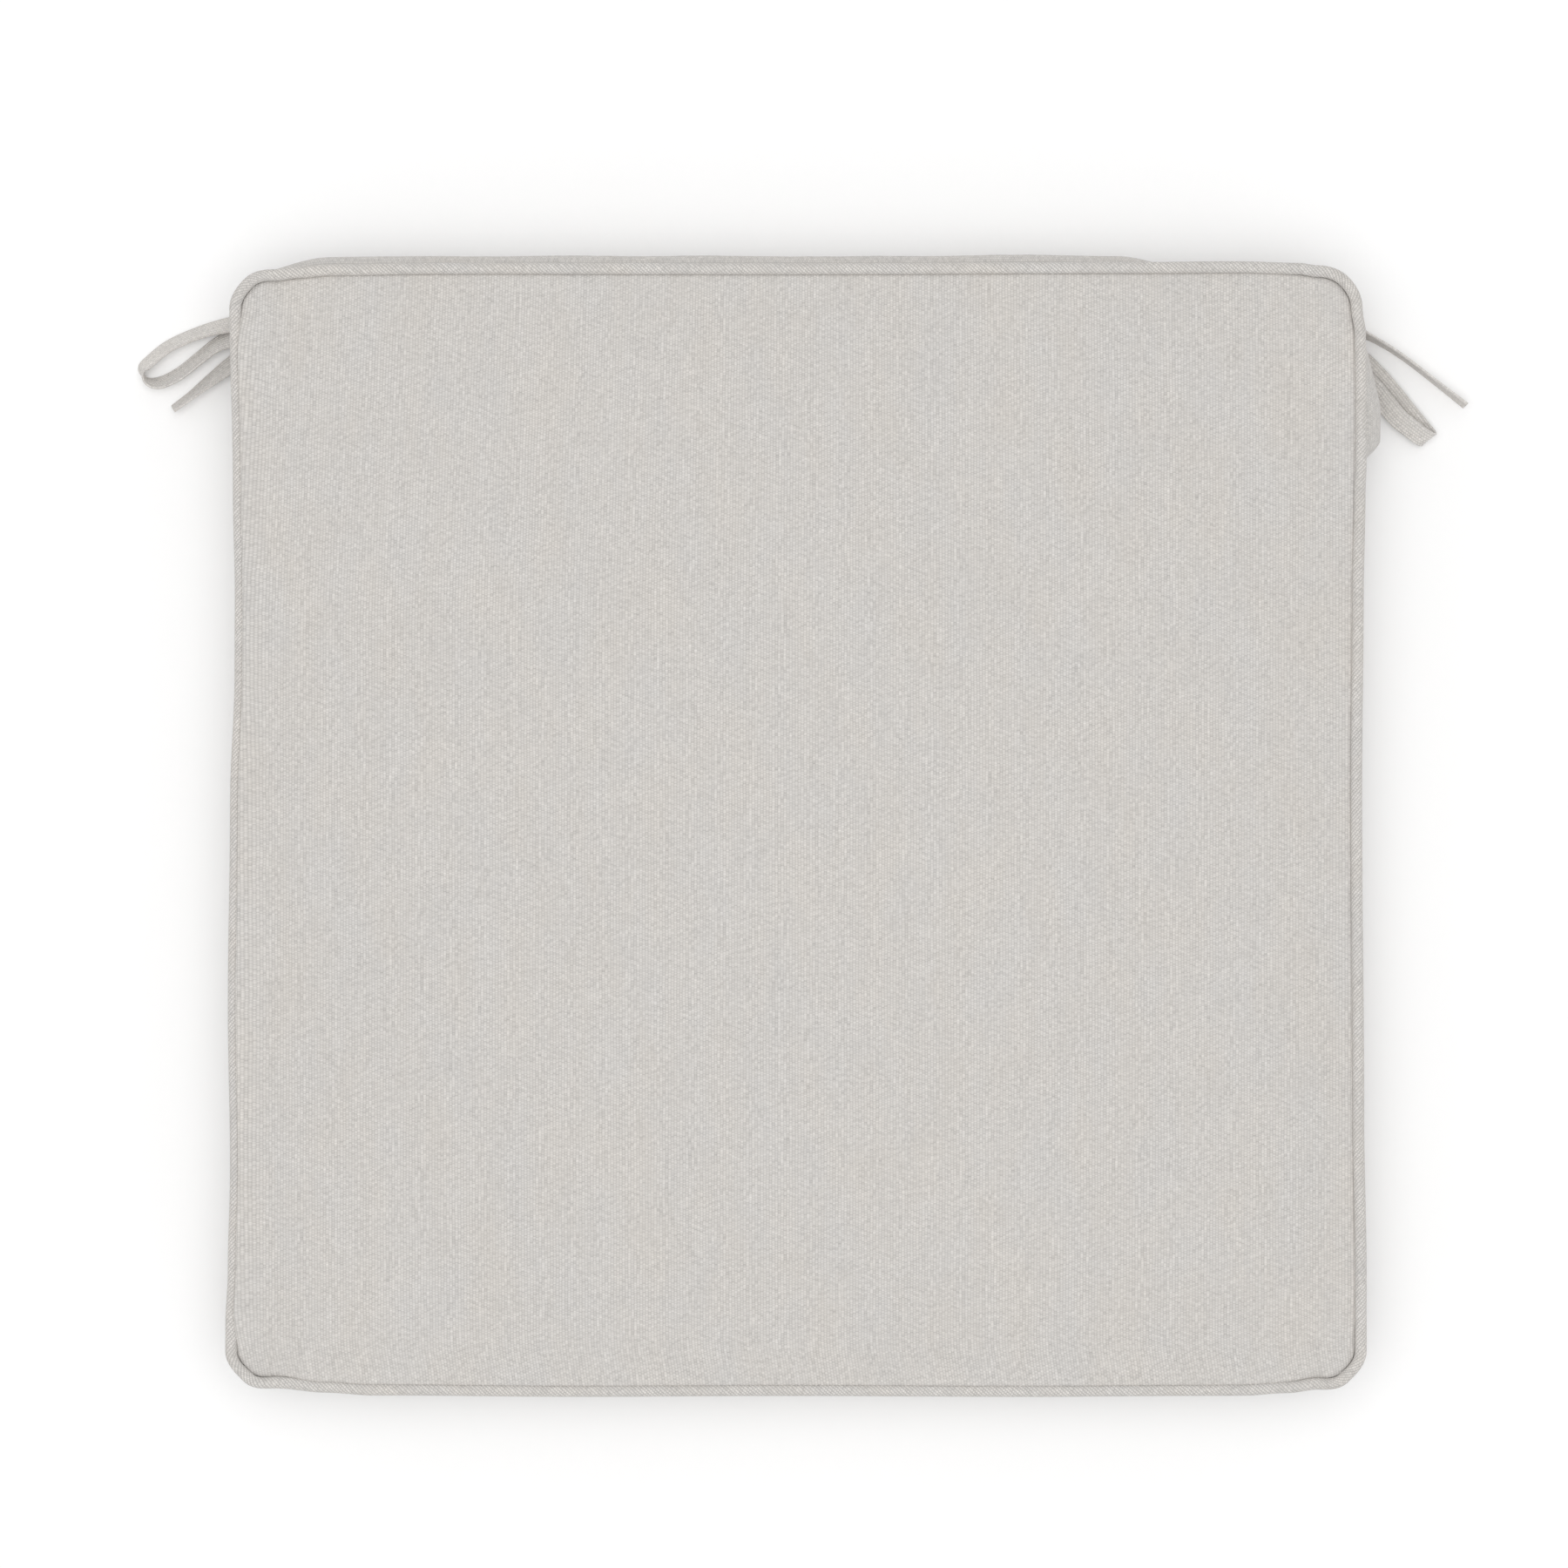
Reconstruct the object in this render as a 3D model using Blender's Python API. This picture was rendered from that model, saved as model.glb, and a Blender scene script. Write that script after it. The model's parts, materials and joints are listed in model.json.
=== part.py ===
"""A boxed chair seat pad: foam core and batting in a sewn canvas cover with piping, a rear zip and four ties.

The pad lies flat. +Z is up, +Y is the rear, and the origin is the middle of the underside, on the floor.
Every sewn layer is a profile of (inset, height) points carried round the line of the piping's middle.
"""

import math

import bmesh
import bpy
from mathutils import Vector

MM = 0.001

# Overall sizes, in metres
PAD_WIDTH = 0.508
PAD_DEPTH = 0.508
BOXING_HEIGHT = 0.0508
CORNER_RADIUS = 0.020
TOP_CROWN = 0.0065
BOTTOM_CROWN = 0.0075
CROWN_RUN = 0.090
CROWN_POWER = 1.5

# Cloth, piping and filling
CANVAS = 0.0007
CLEARANCE = 0.0003
PIPING_DIAMETER = 0.0053
SEAM_ALLOWANCE = 0.009
BOXING_BULGE = 0.0016
BATTING_THICKNESS = 0.0057
BATTING_EDGE_THICKNESS = 0.0030
FOAM_SIDE_BULGE = 0.0025

# Rear zip
ZIP_LENGTH = 0.432
ZIP_GAP = 0.010
ZIP_FOLD = 0.008
ZIP_TAPE_WIDTH = 0.0105
ZIP_TAPE_THICKNESS = 0.0006
COIL_SPLIT = 0.0012
COIL_WIDTH = 0.0024
COIL_THICKNESS = 0.0016
SIDE_SEAM_FROM_REAR = 0.089

# Slider and pull
SLIDER_LENGTH = 0.0115
SLIDER_PLATE = 0.0009
SLIDER_POST = 0.0006
SLIDER_STOP_GAP = 0.0020
BRIDGE_WIDTH = 0.0014
BRIDGE_LENGTH = 0.0064
PULL_BAR = 0.0009
PULL_WIDTH = 0.0062
PULL_LENGTH = 0.022

# Ties
TIE_WIDTH = 0.0095
TIE_THICKNESS = 0.0014
TIE_FLOOR_GAP = 0.0002
TIE_STEP = 0.0034

CORNER_STEPS = 5
CROWN_STEPS = 6

# Worked out from the sizes above
PIPING_RADIUS = PIPING_DIAMETER / 2
HALF_WIDTH = PAD_WIDTH / 2 - PIPING_RADIUS
HALF_DEPTH = PAD_DEPTH / 2 - PIPING_RADIUS
PIPING_CORNER = CORNER_RADIUS - PIPING_RADIUS
LAYER = CANVAS + CLEARANCE
BOTTOM_SEAM = BOTTOM_CROWN
TOP_SEAM = BOTTOM_SEAM + BOXING_HEIGHT
MIDDLE = (BOTTOM_SEAM + TOP_SEAM) / 2
PANEL_EDGE = PIPING_RADIUS + CLEARANCE
FILLING_EDGE = PANEL_EDGE + LAYER
PANEL_SHOULDER = PANEL_EDGE + 0.0010
WELT_TAIL = PIPING_RADIUS - CANVAS
BOXING_INNER = PIPING_RADIUS - 2 * LAYER
BOXING_OUTER = BOXING_INNER - CANVAS - LAYER
BOXING_HALF = BOXING_HEIGHT / 2 - PIPING_RADIUS - CLEARANCE
ALLOWANCE_END = PIPING_RADIUS + CLEARANCE + SEAM_ALLOWANCE
ZIP_SKIN = BOXING_OUTER - BOXING_BULGE
TAPE_OUTER = ZIP_SKIN + 2 * LAYER
COIL_OUTER = TAPE_OUTER - CLEARANCE - COIL_THICKNESS
ZIP_HALF = ZIP_LENGTH / 2


def make_material(name, colour, roughness, metallic=0.0):
    """A plain Principled material."""
    material = bpy.data.materials.new(name)
    material.use_nodes = True
    shader = material.node_tree.nodes["Principled BSDF"]
    shader.inputs["Base Color"].default_value = (*colour, 1.0)
    shader.inputs["Roughness"].default_value = roughness
    shader.inputs["Metallic"].default_value = metallic
    return material


def add_object(name, bm, material, smooth_angle=35.0):
    """Closes off a bmesh as a named object with its own material."""
    bmesh.ops.recalc_face_normals(bm, faces=bm.faces)
    mesh = bpy.data.meshes.new(name)
    bm.to_mesh(mesh)
    bm.free()
    mesh.shade_smooth()
    mesh.set_sharp_from_angle(angle=math.radians(smooth_angle))
    mesh.materials.append(material)
    new_object = bpy.data.objects.new(name, mesh)
    bpy.context.scene.collection.objects.link(new_object)
    return new_object


# The outline. A mark is (side, part, share): sides 0 to 3 are rear, right, front and left,
# part 0 is the side's straight run and part 1 the corner after it, and share runs from 0 to 1.

SIDE_AXES = (
    (Vector((1, 0)), Vector((0, 1))),
    (Vector((0, -1)), Vector((1, 0))),
    (Vector((-1, 0)), Vector((0, -1))),
    (Vector((0, 1)), Vector((-1, 0))),
)


def corner_radius_at(inset):
    """Concentric with the piping near the edge, and rounder further in, as a stuffed face is."""
    if inset <= FILLING_EDGE:
        return PIPING_CORNER - inset
    return PIPING_CORNER - FILLING_EDGE + 0.6 * (inset - FILLING_EDGE)


def half_sizes(side, inset):
    """How far a side's straight run reaches along it and out from the middle, to its corner's middle."""
    along, out = (HALF_WIDTH, HALF_DEPTH) if side % 2 == 0 else (HALF_DEPTH, HALF_WIDTH)
    radius = corner_radius_at(inset)
    return along - inset - radius, out - inset - radius, radius


def plan_point(mark, inset):
    side, part, share = mark
    along_axis, out_axis = SIDE_AXES[side]
    along, out, radius = half_sizes(side, inset)
    if part == 0:
        return along_axis * (2 * share - 1) * along + out_axis * (out + radius)
    angle = (1 - share) * math.pi / 2
    return along_axis * (along + radius * math.cos(angle)) + out_axis * (out + radius * math.sin(angle))


def share_along(side, distance):
    """The share of a side's straight run that is that far past the side's middle."""
    along = half_sizes(side, 0)[0]
    return (distance / along + 1) / 2


def corner_marks(side):
    return [(side, 1, step / CORNER_STEPS) for step in range(1, CORNER_STEPS)]


def loop_marks():
    """Marks all the way round."""
    marks = []
    for side in range(4):
        marks += [(side, 0, 0.0), (side, 0, 0.5), (side, 0, 1.0)]
        marks += corner_marks(side)
    return marks


def sweep(name, marks, profile, material, closed_path=True, closed_profile=True):
    """Carries profile(mark), a list of (inset, height), along the marks and closes the ends."""
    bm = bmesh.new()
    rings = []
    for mark in marks:
        ring = []
        for inset, height in profile(mark):
            point = plan_point(mark, inset)
            ring.append(bm.verts.new((point.x, point.y, height)))
        rings.append(ring)
    pairs = list(zip(rings, rings[1:] + rings[:1]))
    if not closed_path:
        pairs = pairs[:-1]
    for ring, after in pairs:
        last = len(ring) if closed_profile else len(ring) - 1
        for index in range(last):
            following = (index + 1) % len(ring)
            bm.faces.new((ring[index], ring[following], after[following], after[index]))
    if not closed_profile:
        bm.faces.new([ring[0] for ring in rings])
        bm.faces.new([ring[-1] for ring in rings])
    elif not closed_path:
        bm.faces.new(rings[0])
        bm.faces.new(rings[-1])
    return add_object(name, bm, material)


# Top and bottom layers. side is +1 for the top and -1 for the bottom.


def seam_height(side):
    return TOP_SEAM if side > 0 else BOTTOM_SEAM


def face_height(side, inset):
    """The outer face of the top or bottom panel."""
    crown = TOP_CROWN if side > 0 else BOTTOM_CROWN
    share = min(1.0, max(0.0, (inset - PANEL_SHOULDER) / (CROWN_RUN - PANEL_SHOULDER)))
    return seam_height(side) + side * crown * (1 - (1 - share) ** CROWN_POWER)


def crown_insets(edge):
    """Insets from the flat middle of a face out to edge, closer together near the edge."""
    return [edge + (CROWN_RUN - edge) * (1 - step / CROWN_STEPS) ** 1.5 for step in range(CROWN_STEPS + 1)]


def panel(name, side, material):
    """A face panel whose seam allowance turns in beside the boxing."""
    end = seam_height(side) - side * ALLOWANCE_END
    shoulder = seam_height(side) - side * 0.0011
    outer = [(inset, face_height(side, inset)) for inset in crown_insets(PANEL_SHOULDER)]
    outer += [(PANEL_EDGE + 0.0003, face_height(side, PANEL_EDGE) - side * 0.0004), (PANEL_EDGE, shoulder)]
    turned = [(PANEL_EDGE, end), (PANEL_EDGE + CANVAS, end)]
    inner = [(inset, face_height(side, inset) - side * CANVAS) for inset in crown_insets(PANEL_SHOULDER + CANVAS)]
    inner.append((PANEL_EDGE + CANVAS, shoulder - side * 0.0004))
    points = outer + turned + inner[::-1]
    return sweep(name, loop_marks(), lambda mark: points, material, closed_profile=False)


def batting_heights(side, inset):
    """The outer and inner height of a batting layer, which thins towards the seam."""
    outer = face_height(side, inset) - side * LAYER
    share = min(1.0, max(0.0, (inset - FILLING_EDGE) / (CROWN_RUN - FILLING_EDGE)))
    thickness = BATTING_EDGE_THICKNESS + (BATTING_THICKNESS - BATTING_EDGE_THICKNESS) * share
    return outer, outer - side * thickness


def batting(name, side, material):
    edge = FILLING_EDGE + 0.0012
    insets = crown_insets(edge)
    points = [(inset, batting_heights(side, inset)[0]) for inset in insets]
    middle = sum(batting_heights(side, edge)) / 2
    points.append((FILLING_EDGE, middle))
    points += [(inset, batting_heights(side, inset)[1]) for inset in insets[::-1]]
    return sweep(name, loop_marks(), lambda mark: points, material, closed_profile=False)


def foam(name, material):
    edge = FILLING_EDGE + 0.0012
    top = [(inset, batting_heights(1, inset)[1] - CLEARANCE) for inset in crown_insets(edge)]
    bottom = [(inset, batting_heights(-1, inset)[1] + CLEARANCE) for inset in crown_insets(edge)]
    below_allowance = TOP_SEAM - ALLOWANCE_END - 0.0010
    above_allowance = BOTTOM_SEAM + ALLOWANCE_END + 0.0010
    side = [
        (FILLING_EDGE, top[-1][1] - 0.0020),
        (FILLING_EDGE, below_allowance),
        (FILLING_EDGE - FOAM_SIDE_BULGE, MIDDLE),
        (FILLING_EDGE, above_allowance),
        (FILLING_EDGE, bottom[-1][1] + 0.0020),
    ]
    points = top + side + bottom[::-1]
    return sweep(name, loop_marks(), lambda mark: points, material, closed_profile=False)


# Piping


def arc(radius, start, end, steps):
    """Points of an arc about the cord's middle, angles in degrees from the inward direction, up positive."""
    angles = [math.radians(start + (end - start) * step / steps) for step in range(steps + 1)]
    return [(radius * math.cos(angle), radius * math.sin(angle)) for angle in angles]


def welt(cover_name, cord_name, side, cover_material, cord_material):
    """Cloth wrapped round a cord, with two tails that are caught in the seam."""
    inside = PIPING_RADIUS - CANVAS
    outer_tail = (WELT_TAIL - LAYER, WELT_TAIL - CLEARANCE)
    cover_start = math.degrees(math.acos(outer_tail[0] / PIPING_RADIUS))
    inner_end = math.degrees(math.acos(outer_tail[1] / inside))
    outline = arc(PIPING_RADIUS, 360 - cover_start, 0, 12)
    outline += [(PIPING_RADIUS, -ALLOWANCE_END), (WELT_TAIL, -ALLOWANCE_END)]
    outline += arc(inside, 0, 360 - inner_end, 10)
    outline += [(outer_tail[1], -ALLOWANCE_END), (outer_tail[0], -ALLOWANCE_END)]
    middle = seam_height(side)
    points = [(inset, middle + side * height) for inset, height in outline]
    sweep(cover_name, loop_marks(), lambda mark: points, cover_material)
    ring = arc(inside - CLEARANCE, 0, 315, 7)
    cord_points = [(inset, middle + height) for inset, height in ring]
    sweep(cord_name, loop_marks(), lambda mark: cord_points, cord_material)


# Boxing and zip


def boxing_inset(height):
    """The boxing's outer face, which bellies out between its seams and is flat beside the zip."""
    from_middle = abs(height - MIDDLE)
    share = min(1.0, max(0.0, (BOXING_HALF - from_middle) / (BOXING_HALF - ZIP_GAP / 2)))
    return BOXING_OUTER - BOXING_BULGE * math.sin(share * math.pi / 2)


def strip_profile(low, high, low_fold, high_fold, low_sewn, high_sewn):
    """A strip of boxing with both edges folded in. A sewn edge folds round to hang straight down
    from the seam, and a zip edge's fold follows the strip itself."""
    steps = 6
    heights = [high - (high - low) * step / steps for step in range(steps + 1)]
    outer = [(boxing_inset(height), height) for height in heights]

    def fold(edge, depth, sewn, inward):
        """The folded-in layer's two faces, from the strip's inner face round to its outer corner."""
        tip = edge + inward * depth
        near, far = BOXING_INNER - CANVAS, BOXING_INNER
        start = (boxing_inset(edge + inward * CANVAS) + CANVAS, edge + inward * CANVAS)
        if sewn:
            return [start, (near, edge + inward * CANVAS), (near, tip), (far, tip), (far, edge)]
        levels = [edge + inward * (CANVAS + (depth - CANVAS) * step / 2) for step in range(3)]
        gap = CANVAS + CLEARANCE
        inner_face = [(boxing_inset(level) + gap, level) for level in levels]
        outer_face = [(boxing_inset(level) + gap + CANVAS, level) for level in levels[::-1]]
        return [start, *inner_face, *outer_face, (boxing_inset(edge) + gap + CANVAS, edge)]

    low_edge = fold(low, low_fold, low_sewn, 1)
    high_edge = fold(high, high_fold, high_sewn, -1)
    inner = [(boxing_inset(height) + CANVAS, height) for height in heights[1:-1]]
    return outer + low_edge[::-1] + inner[::-1] + high_edge


def boxing_band(name, material):
    """The front and sides of the boxing, from one side seam round the front to the other."""
    seam = share_along(1, -(PAD_DEPTH / 2 - SIDE_SEAM_FROM_REAR) + CLEARANCE / 2)
    marks = [(1, 0, seam), (1, 0, 1.0), *corner_marks(1), (2, 0, 0.0), (2, 0, 0.5), (2, 0, 1.0)]
    marks += [*corner_marks(2), (3, 0, 0.0), (3, 0, 1 - seam)]
    low, high = MIDDLE - BOXING_HALF, MIDDLE + BOXING_HALF
    points = strip_profile(low, high, SEAM_ALLOWANCE, SEAM_ALLOWANCE, True, True)
    return sweep(name, marks, lambda mark: points, material, closed_path=False)


def rear_marks():
    """Marks from the left side seam round the rear to the right one, with the ends of the zip's opening."""
    seam = share_along(3, PAD_DEPTH / 2 - SIDE_SEAM_FROM_REAR + CLEARANCE / 2)
    opening = ZIP_HALF + SLIDER_STOP_GAP
    past = opening + ZIP_GAP
    rear = [(0, 0, share_along(0, distance)) for distance in (-past, -opening, opening, past)]
    rear = [(0, 0, 0.0), *rear, (0, 0, 1.0)]
    marks = [(3, 0, seam), (3, 0, 1.0), *corner_marks(3), *rear, *corner_marks(0)]
    return marks + [(1, 0, 0.0), (1, 0, 1 - seam)]


def opening_half(mark):
    """Half the gap between the strips: the zip's opening, closed up beyond its ends."""
    side, part, share = mark
    inside = side == 0 and part == 0
    reach = abs(2 * share - 1) * half_sizes(0, 0)[0]
    open_here = inside and reach < ZIP_HALF + SLIDER_STOP_GAP + ZIP_GAP / 2
    return ZIP_GAP / 2 if open_here else CLEARANCE / 2


def zipper_band(name, side, material):
    """The strip above (side +1) or below (side -1) the zip."""

    def profile(mark):
        sewn_edge = MIDDLE + side * BOXING_HALF
        zip_edge = MIDDLE + side * opening_half(mark)
        if side > 0:
            return strip_profile(zip_edge, sewn_edge, ZIP_FOLD, SEAM_ALLOWANCE, False, True)
        return strip_profile(sewn_edge, zip_edge, SEAM_ALLOWANCE, ZIP_FOLD, True, False)

    return sweep(name, rear_marks(), profile, material, closed_path=False)


def straight_bar(name, half_length, points, material):
    """A profile of (inset, height) points drawn straight along the rear."""
    bm = bmesh.new()
    corners = [bm.verts.new((-half_length, HALF_DEPTH - inset, height)) for inset, height in points]
    face = bm.faces.new(corners)
    moved = bmesh.ops.extrude_face_region(bm, geom=[face])
    end = [element for element in moved["geom"] if isinstance(element, bmesh.types.BMVert)]
    bmesh.ops.translate(bm, vec=(2 * half_length, 0, 0), verts=end)
    return add_object(name, bm, material)


def zipper_tape(name, side, material):
    near = COIL_SPLIT / 2
    far = near + ZIP_TAPE_WIDTH
    levels = [MIDDLE + side * (near + (far - near) * step / 4) for step in range(5)]
    outer = [(boxing_inset(level) + 2 * LAYER, level) for level in levels]
    inner = [(inset + ZIP_TAPE_THICKNESS, level) for inset, level in outer]
    return straight_bar(name, ZIP_HALF + 2 * SLIDER_STOP_GAP, outer + inner[::-1], material)


def zipper_coil(name, side, material):
    near, far = COIL_SPLIT / 2, COIL_SPLIT / 2 + COIL_WIDTH
    bevel = COIL_THICKNESS / 4
    back = TAPE_OUTER - CLEARANCE
    outline = [(back, near), (COIL_OUTER + bevel, near), (COIL_OUTER, near + bevel)]
    outline += [(COIL_OUTER, far - bevel), (COIL_OUTER + bevel, far), (back, far)]
    points = [(inset, MIDDLE + side * level) for inset, level in outline]
    return straight_bar(name, ZIP_HALF, points, material)


# Slider and pull, made round the slider's own middle: x along the zip, y out from the pad, z up.

PLATE_INNER = -COIL_OUTER + CLEARANCE
PLATE_OUTER = PLATE_INNER + SLIDER_PLATE
BACK_OUTER = -(TAPE_OUTER + ZIP_TAPE_THICKNESS + CLEARANCE)
BACK_INNER = BACK_OUTER - SLIDER_PLATE
PULL_AXIS = PLATE_OUTER + CLEARANCE + PULL_BAR / 2
BRIDGE_UNDERSIDE = PULL_AXIS + PULL_BAR / 2 + CLEARANCE
SLIDER_WIDTH = ZIP_GAP - 2 * CLEARANCE
SLIDER_AT = -(ZIP_HALF - SLIDER_LENGTH / 2 - SLIDER_STOP_GAP)


def block(bm, low, high):
    """A box from its lowest to its highest corner."""
    low, high = Vector(low), Vector(high)
    made = bmesh.ops.create_cube(bm, size=1.0)["verts"]
    bmesh.ops.scale(bm, vec=high - low, verts=made)
    bmesh.ops.translate(bm, vec=(low + high) / 2, verts=made)
    return made


def shaped_plate(bm, near, far, half_width):
    """A slider plate: broad where the halves of the coil part, narrower where they are closed."""
    half = SLIDER_LENGTH / 2
    outline = [(-half, 0.62), (-half + 0.0018, 0.74), (0.0, 0.80), (half - 0.0030, 1.0), (half - 0.0010, 0.94)]
    outline.append((half, 0.70))
    points = [(x, share * half_width) for x, share in outline]
    points += [(x, -z) for x, z in points[::-1]]
    face = bm.faces.new([bm.verts.new((x, near, z)) for x, z in points])
    moved = bmesh.ops.extrude_face_region(bm, geom=[face])
    end = [element for element in moved["geom"] if isinstance(element, bmesh.types.BMVert)]
    bmesh.ops.translate(bm, vec=(0, far - near, 0), verts=end)


def union(target, tools):
    """Joins overlapping solids into one body and removes the tools."""
    bpy.context.view_layer.update()
    for tool in tools:
        modifier = target.modifiers.new("union", "BOOLEAN")
        modifier.operation = "UNION"
        modifier.object = tool
        tool.hide_render = True
        tool.display_type = "WIRE"


def zipper_slider(name, material, place):
    """Two plates joined by a post that runs between the halves of the coil, and a bridge for the pull."""
    overlap = 0.0002
    bm = bmesh.new()
    shaped_plate(bm, PLATE_INNER, PLATE_OUTER, SLIDER_WIDTH / 2)
    slider = add_object(name, bm, material)
    half = SLIDER_LENGTH / 2
    tools = []
    bm = bmesh.new()
    shaped_plate(bm, BACK_INNER, BACK_OUTER, SLIDER_WIDTH * 0.44)
    tools.append(add_object(name + ".back_cutter", bm, material))
    bm = bmesh.new()
    block(
        bm,
        (half - 0.0045, BACK_OUTER - overlap, -SLIDER_POST / 2),
        (half - 0.0015, PLATE_INNER + overlap, SLIDER_POST / 2),
    )
    tools.append(add_object(name + ".post_cutter", bm, material))
    bridge_top = BRIDGE_UNDERSIDE + PULL_BAR * 0.75
    for end in (-1, 1):
        bm = bmesh.new()
        low = min(end * BRIDGE_LENGTH / 2, end * (BRIDGE_LENGTH / 2 - 0.0009))
        block(
            bm,
            (low, PLATE_OUTER - overlap, -BRIDGE_WIDTH / 2),
            (low + 0.0009, bridge_top - overlap, BRIDGE_WIDTH / 2),
        )
        tools.append(add_object(f"{name}.leg_cutter_{end + 1}", bm, material))
    bm = bmesh.new()
    block(
        bm,
        (-BRIDGE_LENGTH / 2, BRIDGE_UNDERSIDE, -BRIDGE_WIDTH / 2 - 0.0001),
        (BRIDGE_LENGTH / 2, bridge_top, BRIDGE_WIDTH / 2 + 0.0001),
    )
    edges = [edge for edge in bm.edges if all(vert.co.y > BRIDGE_UNDERSIDE + overlap for vert in edge.verts)]
    bmesh.ops.bevel(bm, geom=edges, offset=0.0003, affect="EDGES", segments=1, profile=0.5, material=-1)
    tools.append(add_object(name + ".bridge_cutter", bm, material))
    for tool in tools:
        tool.parent = slider
    union(slider, tools)
    slider.location = place
    return slider


def zipper_pull(name, material, place):
    """A flat tab whose end bar turns under the slider's bridge. Its origin is on the bar's axis."""
    window_near = PULL_BAR / 2
    window_far = BRIDGE_LENGTH / 2 + CLEARANCE + 0.0004
    window_half = BRIDGE_WIDTH / 2 + CLEARANCE + 0.0005
    half = PULL_WIDTH / 2
    thick = PULL_BAR / 2
    outline = [(-PULL_BAR / 2, half * 0.8), (window_far, half * 0.8), (window_far + 0.003, half * 0.62)]
    outline += [(PULL_LENGTH - 0.006, half), (PULL_LENGTH - 0.002, half), (PULL_LENGTH, half * 0.55)]
    points = outline + [(x, -z) for x, z in outline[::-1]]
    bm = bmesh.new()
    face = bm.faces.new([bm.verts.new((x, -thick, z)) for x, z in points])
    moved = bmesh.ops.extrude_face_region(bm, geom=[face])
    end = [element for element in moved["geom"] if isinstance(element, bmesh.types.BMVert)]
    bmesh.ops.translate(bm, vec=(0, 2 * thick, 0), verts=end)
    pull = add_object(name, bm, material)
    bm = bmesh.new()
    block(bm, (window_near, -0.002, -window_half), (window_far, 0.002, window_half))
    window = add_object(name + ".window_cutter", bm, material)
    window.parent = pull
    window.hide_render = True
    window.display_type = "WIRE"
    cut = pull.modifiers.new("window", "BOOLEAN")
    cut.operation = "DIFFERENCE"
    cut.object = window
    pull.location = place
    return pull


# Ties. Each point is (past the pad's side, behind its rear edge, lift off the floor) in millimetres, then
# the compass heading of the tape's width and how far it leans up off the floor, in degrees. A heading of 0
# is +X and 90 is +Y.

LEFT_LOOP = [
    (-32.0, -8.2, 5.0, 0, 0),
    (-31.0, -12.5, 3.9, -14, 0),
    (-26.5, -17.5, 1.8, -42, 0),
    (-19.0, -20.6, 0.4, -64, 0),
    (-10.0, -21.8, 0.0, -74, 3),
    (-2.0, -22.0, 0.0, -74, 14),
    (6.4, -22.8, 0.0, -70, 38),
    (20.0, -26.5, 0.0, -64, 50),
    (33.2, -32.3, 0.0, -60, 52),
    (41.3, -38.5, 0.0, -60, 52),
    (45.8, -43.4, 0.0, -60, 52),
    (43.6, -48.2, 0.0, -60, 52),
    (38.0, -49.4, 0.0, -60, 52),
    (29.2, -45.5, 0.0, -57, 50),
    (20.0, -38.3, 0.0, -53, 50),
    (12.9, -32.7, 0.3, -53, 46),
    (6.4, -29.6, 1.2, -58, 30),
    (0.0, -28.4, 1.9, -66, 8),
    (-8.0, -27.6, 1.9, -80, 0),
]
LEFT_TAIL = [
    (-68.0, -8.2, 4.8, 0, 0),
    (-71.0, -18.0, 1.4, 16, 0),
    (-74.5, -31.0, 0.3, 2, 0),
    (-70.5, -42.0, 0.0, -38, 0),
    (-60.0, -46.5, 0.0, -82, 0),
    (-48.0, -43.5, 0.0, -114, 0),
    (-36.0, -37.0, 0.0, -116, 0),
    (-24.0, -32.6, 0.0, -100, 0),
    (-12.0, -32.6, 0.0, -82, 0),
    (-3.0, -36.0, 0.0, -66, 8),
    (6.4, -42.0, 0.0, -56, 34),
    (15.3, -48.8, 0.0, -52, 52),
    (23.3, -55.1, 0.0, -52, 64),
    (31.7, -61.4, 0.0, -52, 67),
]
RIGHT_TAIL = [
    (-82.0, -8.2, 4.4, 0, 0),
    (-79.5, -13.0, 2.0, 20, 0),
    (-68.0, -18.0, 0.0, 70, 0),
    (-52.0, -19.0, 0.0, 90, 0),
    (-38.0, -18.4, 0.0, 88, 0),
    (-24.0, -17.8, 0.0, 86, 0),
    (-11.0, -18.6, 0.0, 78, 0),
    (-5.0, -20.4, 0.0, 70, 2),
    (0.0, -22.9, 0.0, 60, 12),
    (3.2, -24.8, 0.0, 57, 50),
    (6.4, -26.7, 0.0, 56, 78),
    (22.3, -35.9, 0.0, 58, 86),
    (40.7, -49.9, 0.0, 52, 86),
    (53.5, -59.9, 0.0, 52, 82),
]
RIGHT_LOOP = [
    (-32.0, -8.2, 5.0, 0, 0),
    (-29.5, -12.6, 4.2, 32, 0),
    (-22.0, -18.6, 3.0, 49, 0),
    (-12.0, -27.0, 2.0, 52, 0),
    (-3.0, -33.2, 0.5, 56, 0),
    (6.0, -39.0, 0.0, 50, 10),
    (17.2, -50.5, 0.0, 39, 25),
    (27.0, -62.6, 0.0, 39, 25),
    (33.4, -70.4, 0.2, 39, 25),
    (36.6, -74.8, 2.0, 39, 25),
    (34.2, -75.0, 4.6, 39, 25),
    (28.6, -71.0, 5.0, 39, 24),
    (22.6, -66.0, 4.4, 40, 22),
    (16.0, -58.3, 3.4, 42, 20),
    (11.6, -52.6, 2.6, 45, 13),
    (6.0, -47.6, 2.0, 52, 5),
    (-1.5, -44.0, 1.9, 62, 0),
]


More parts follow.
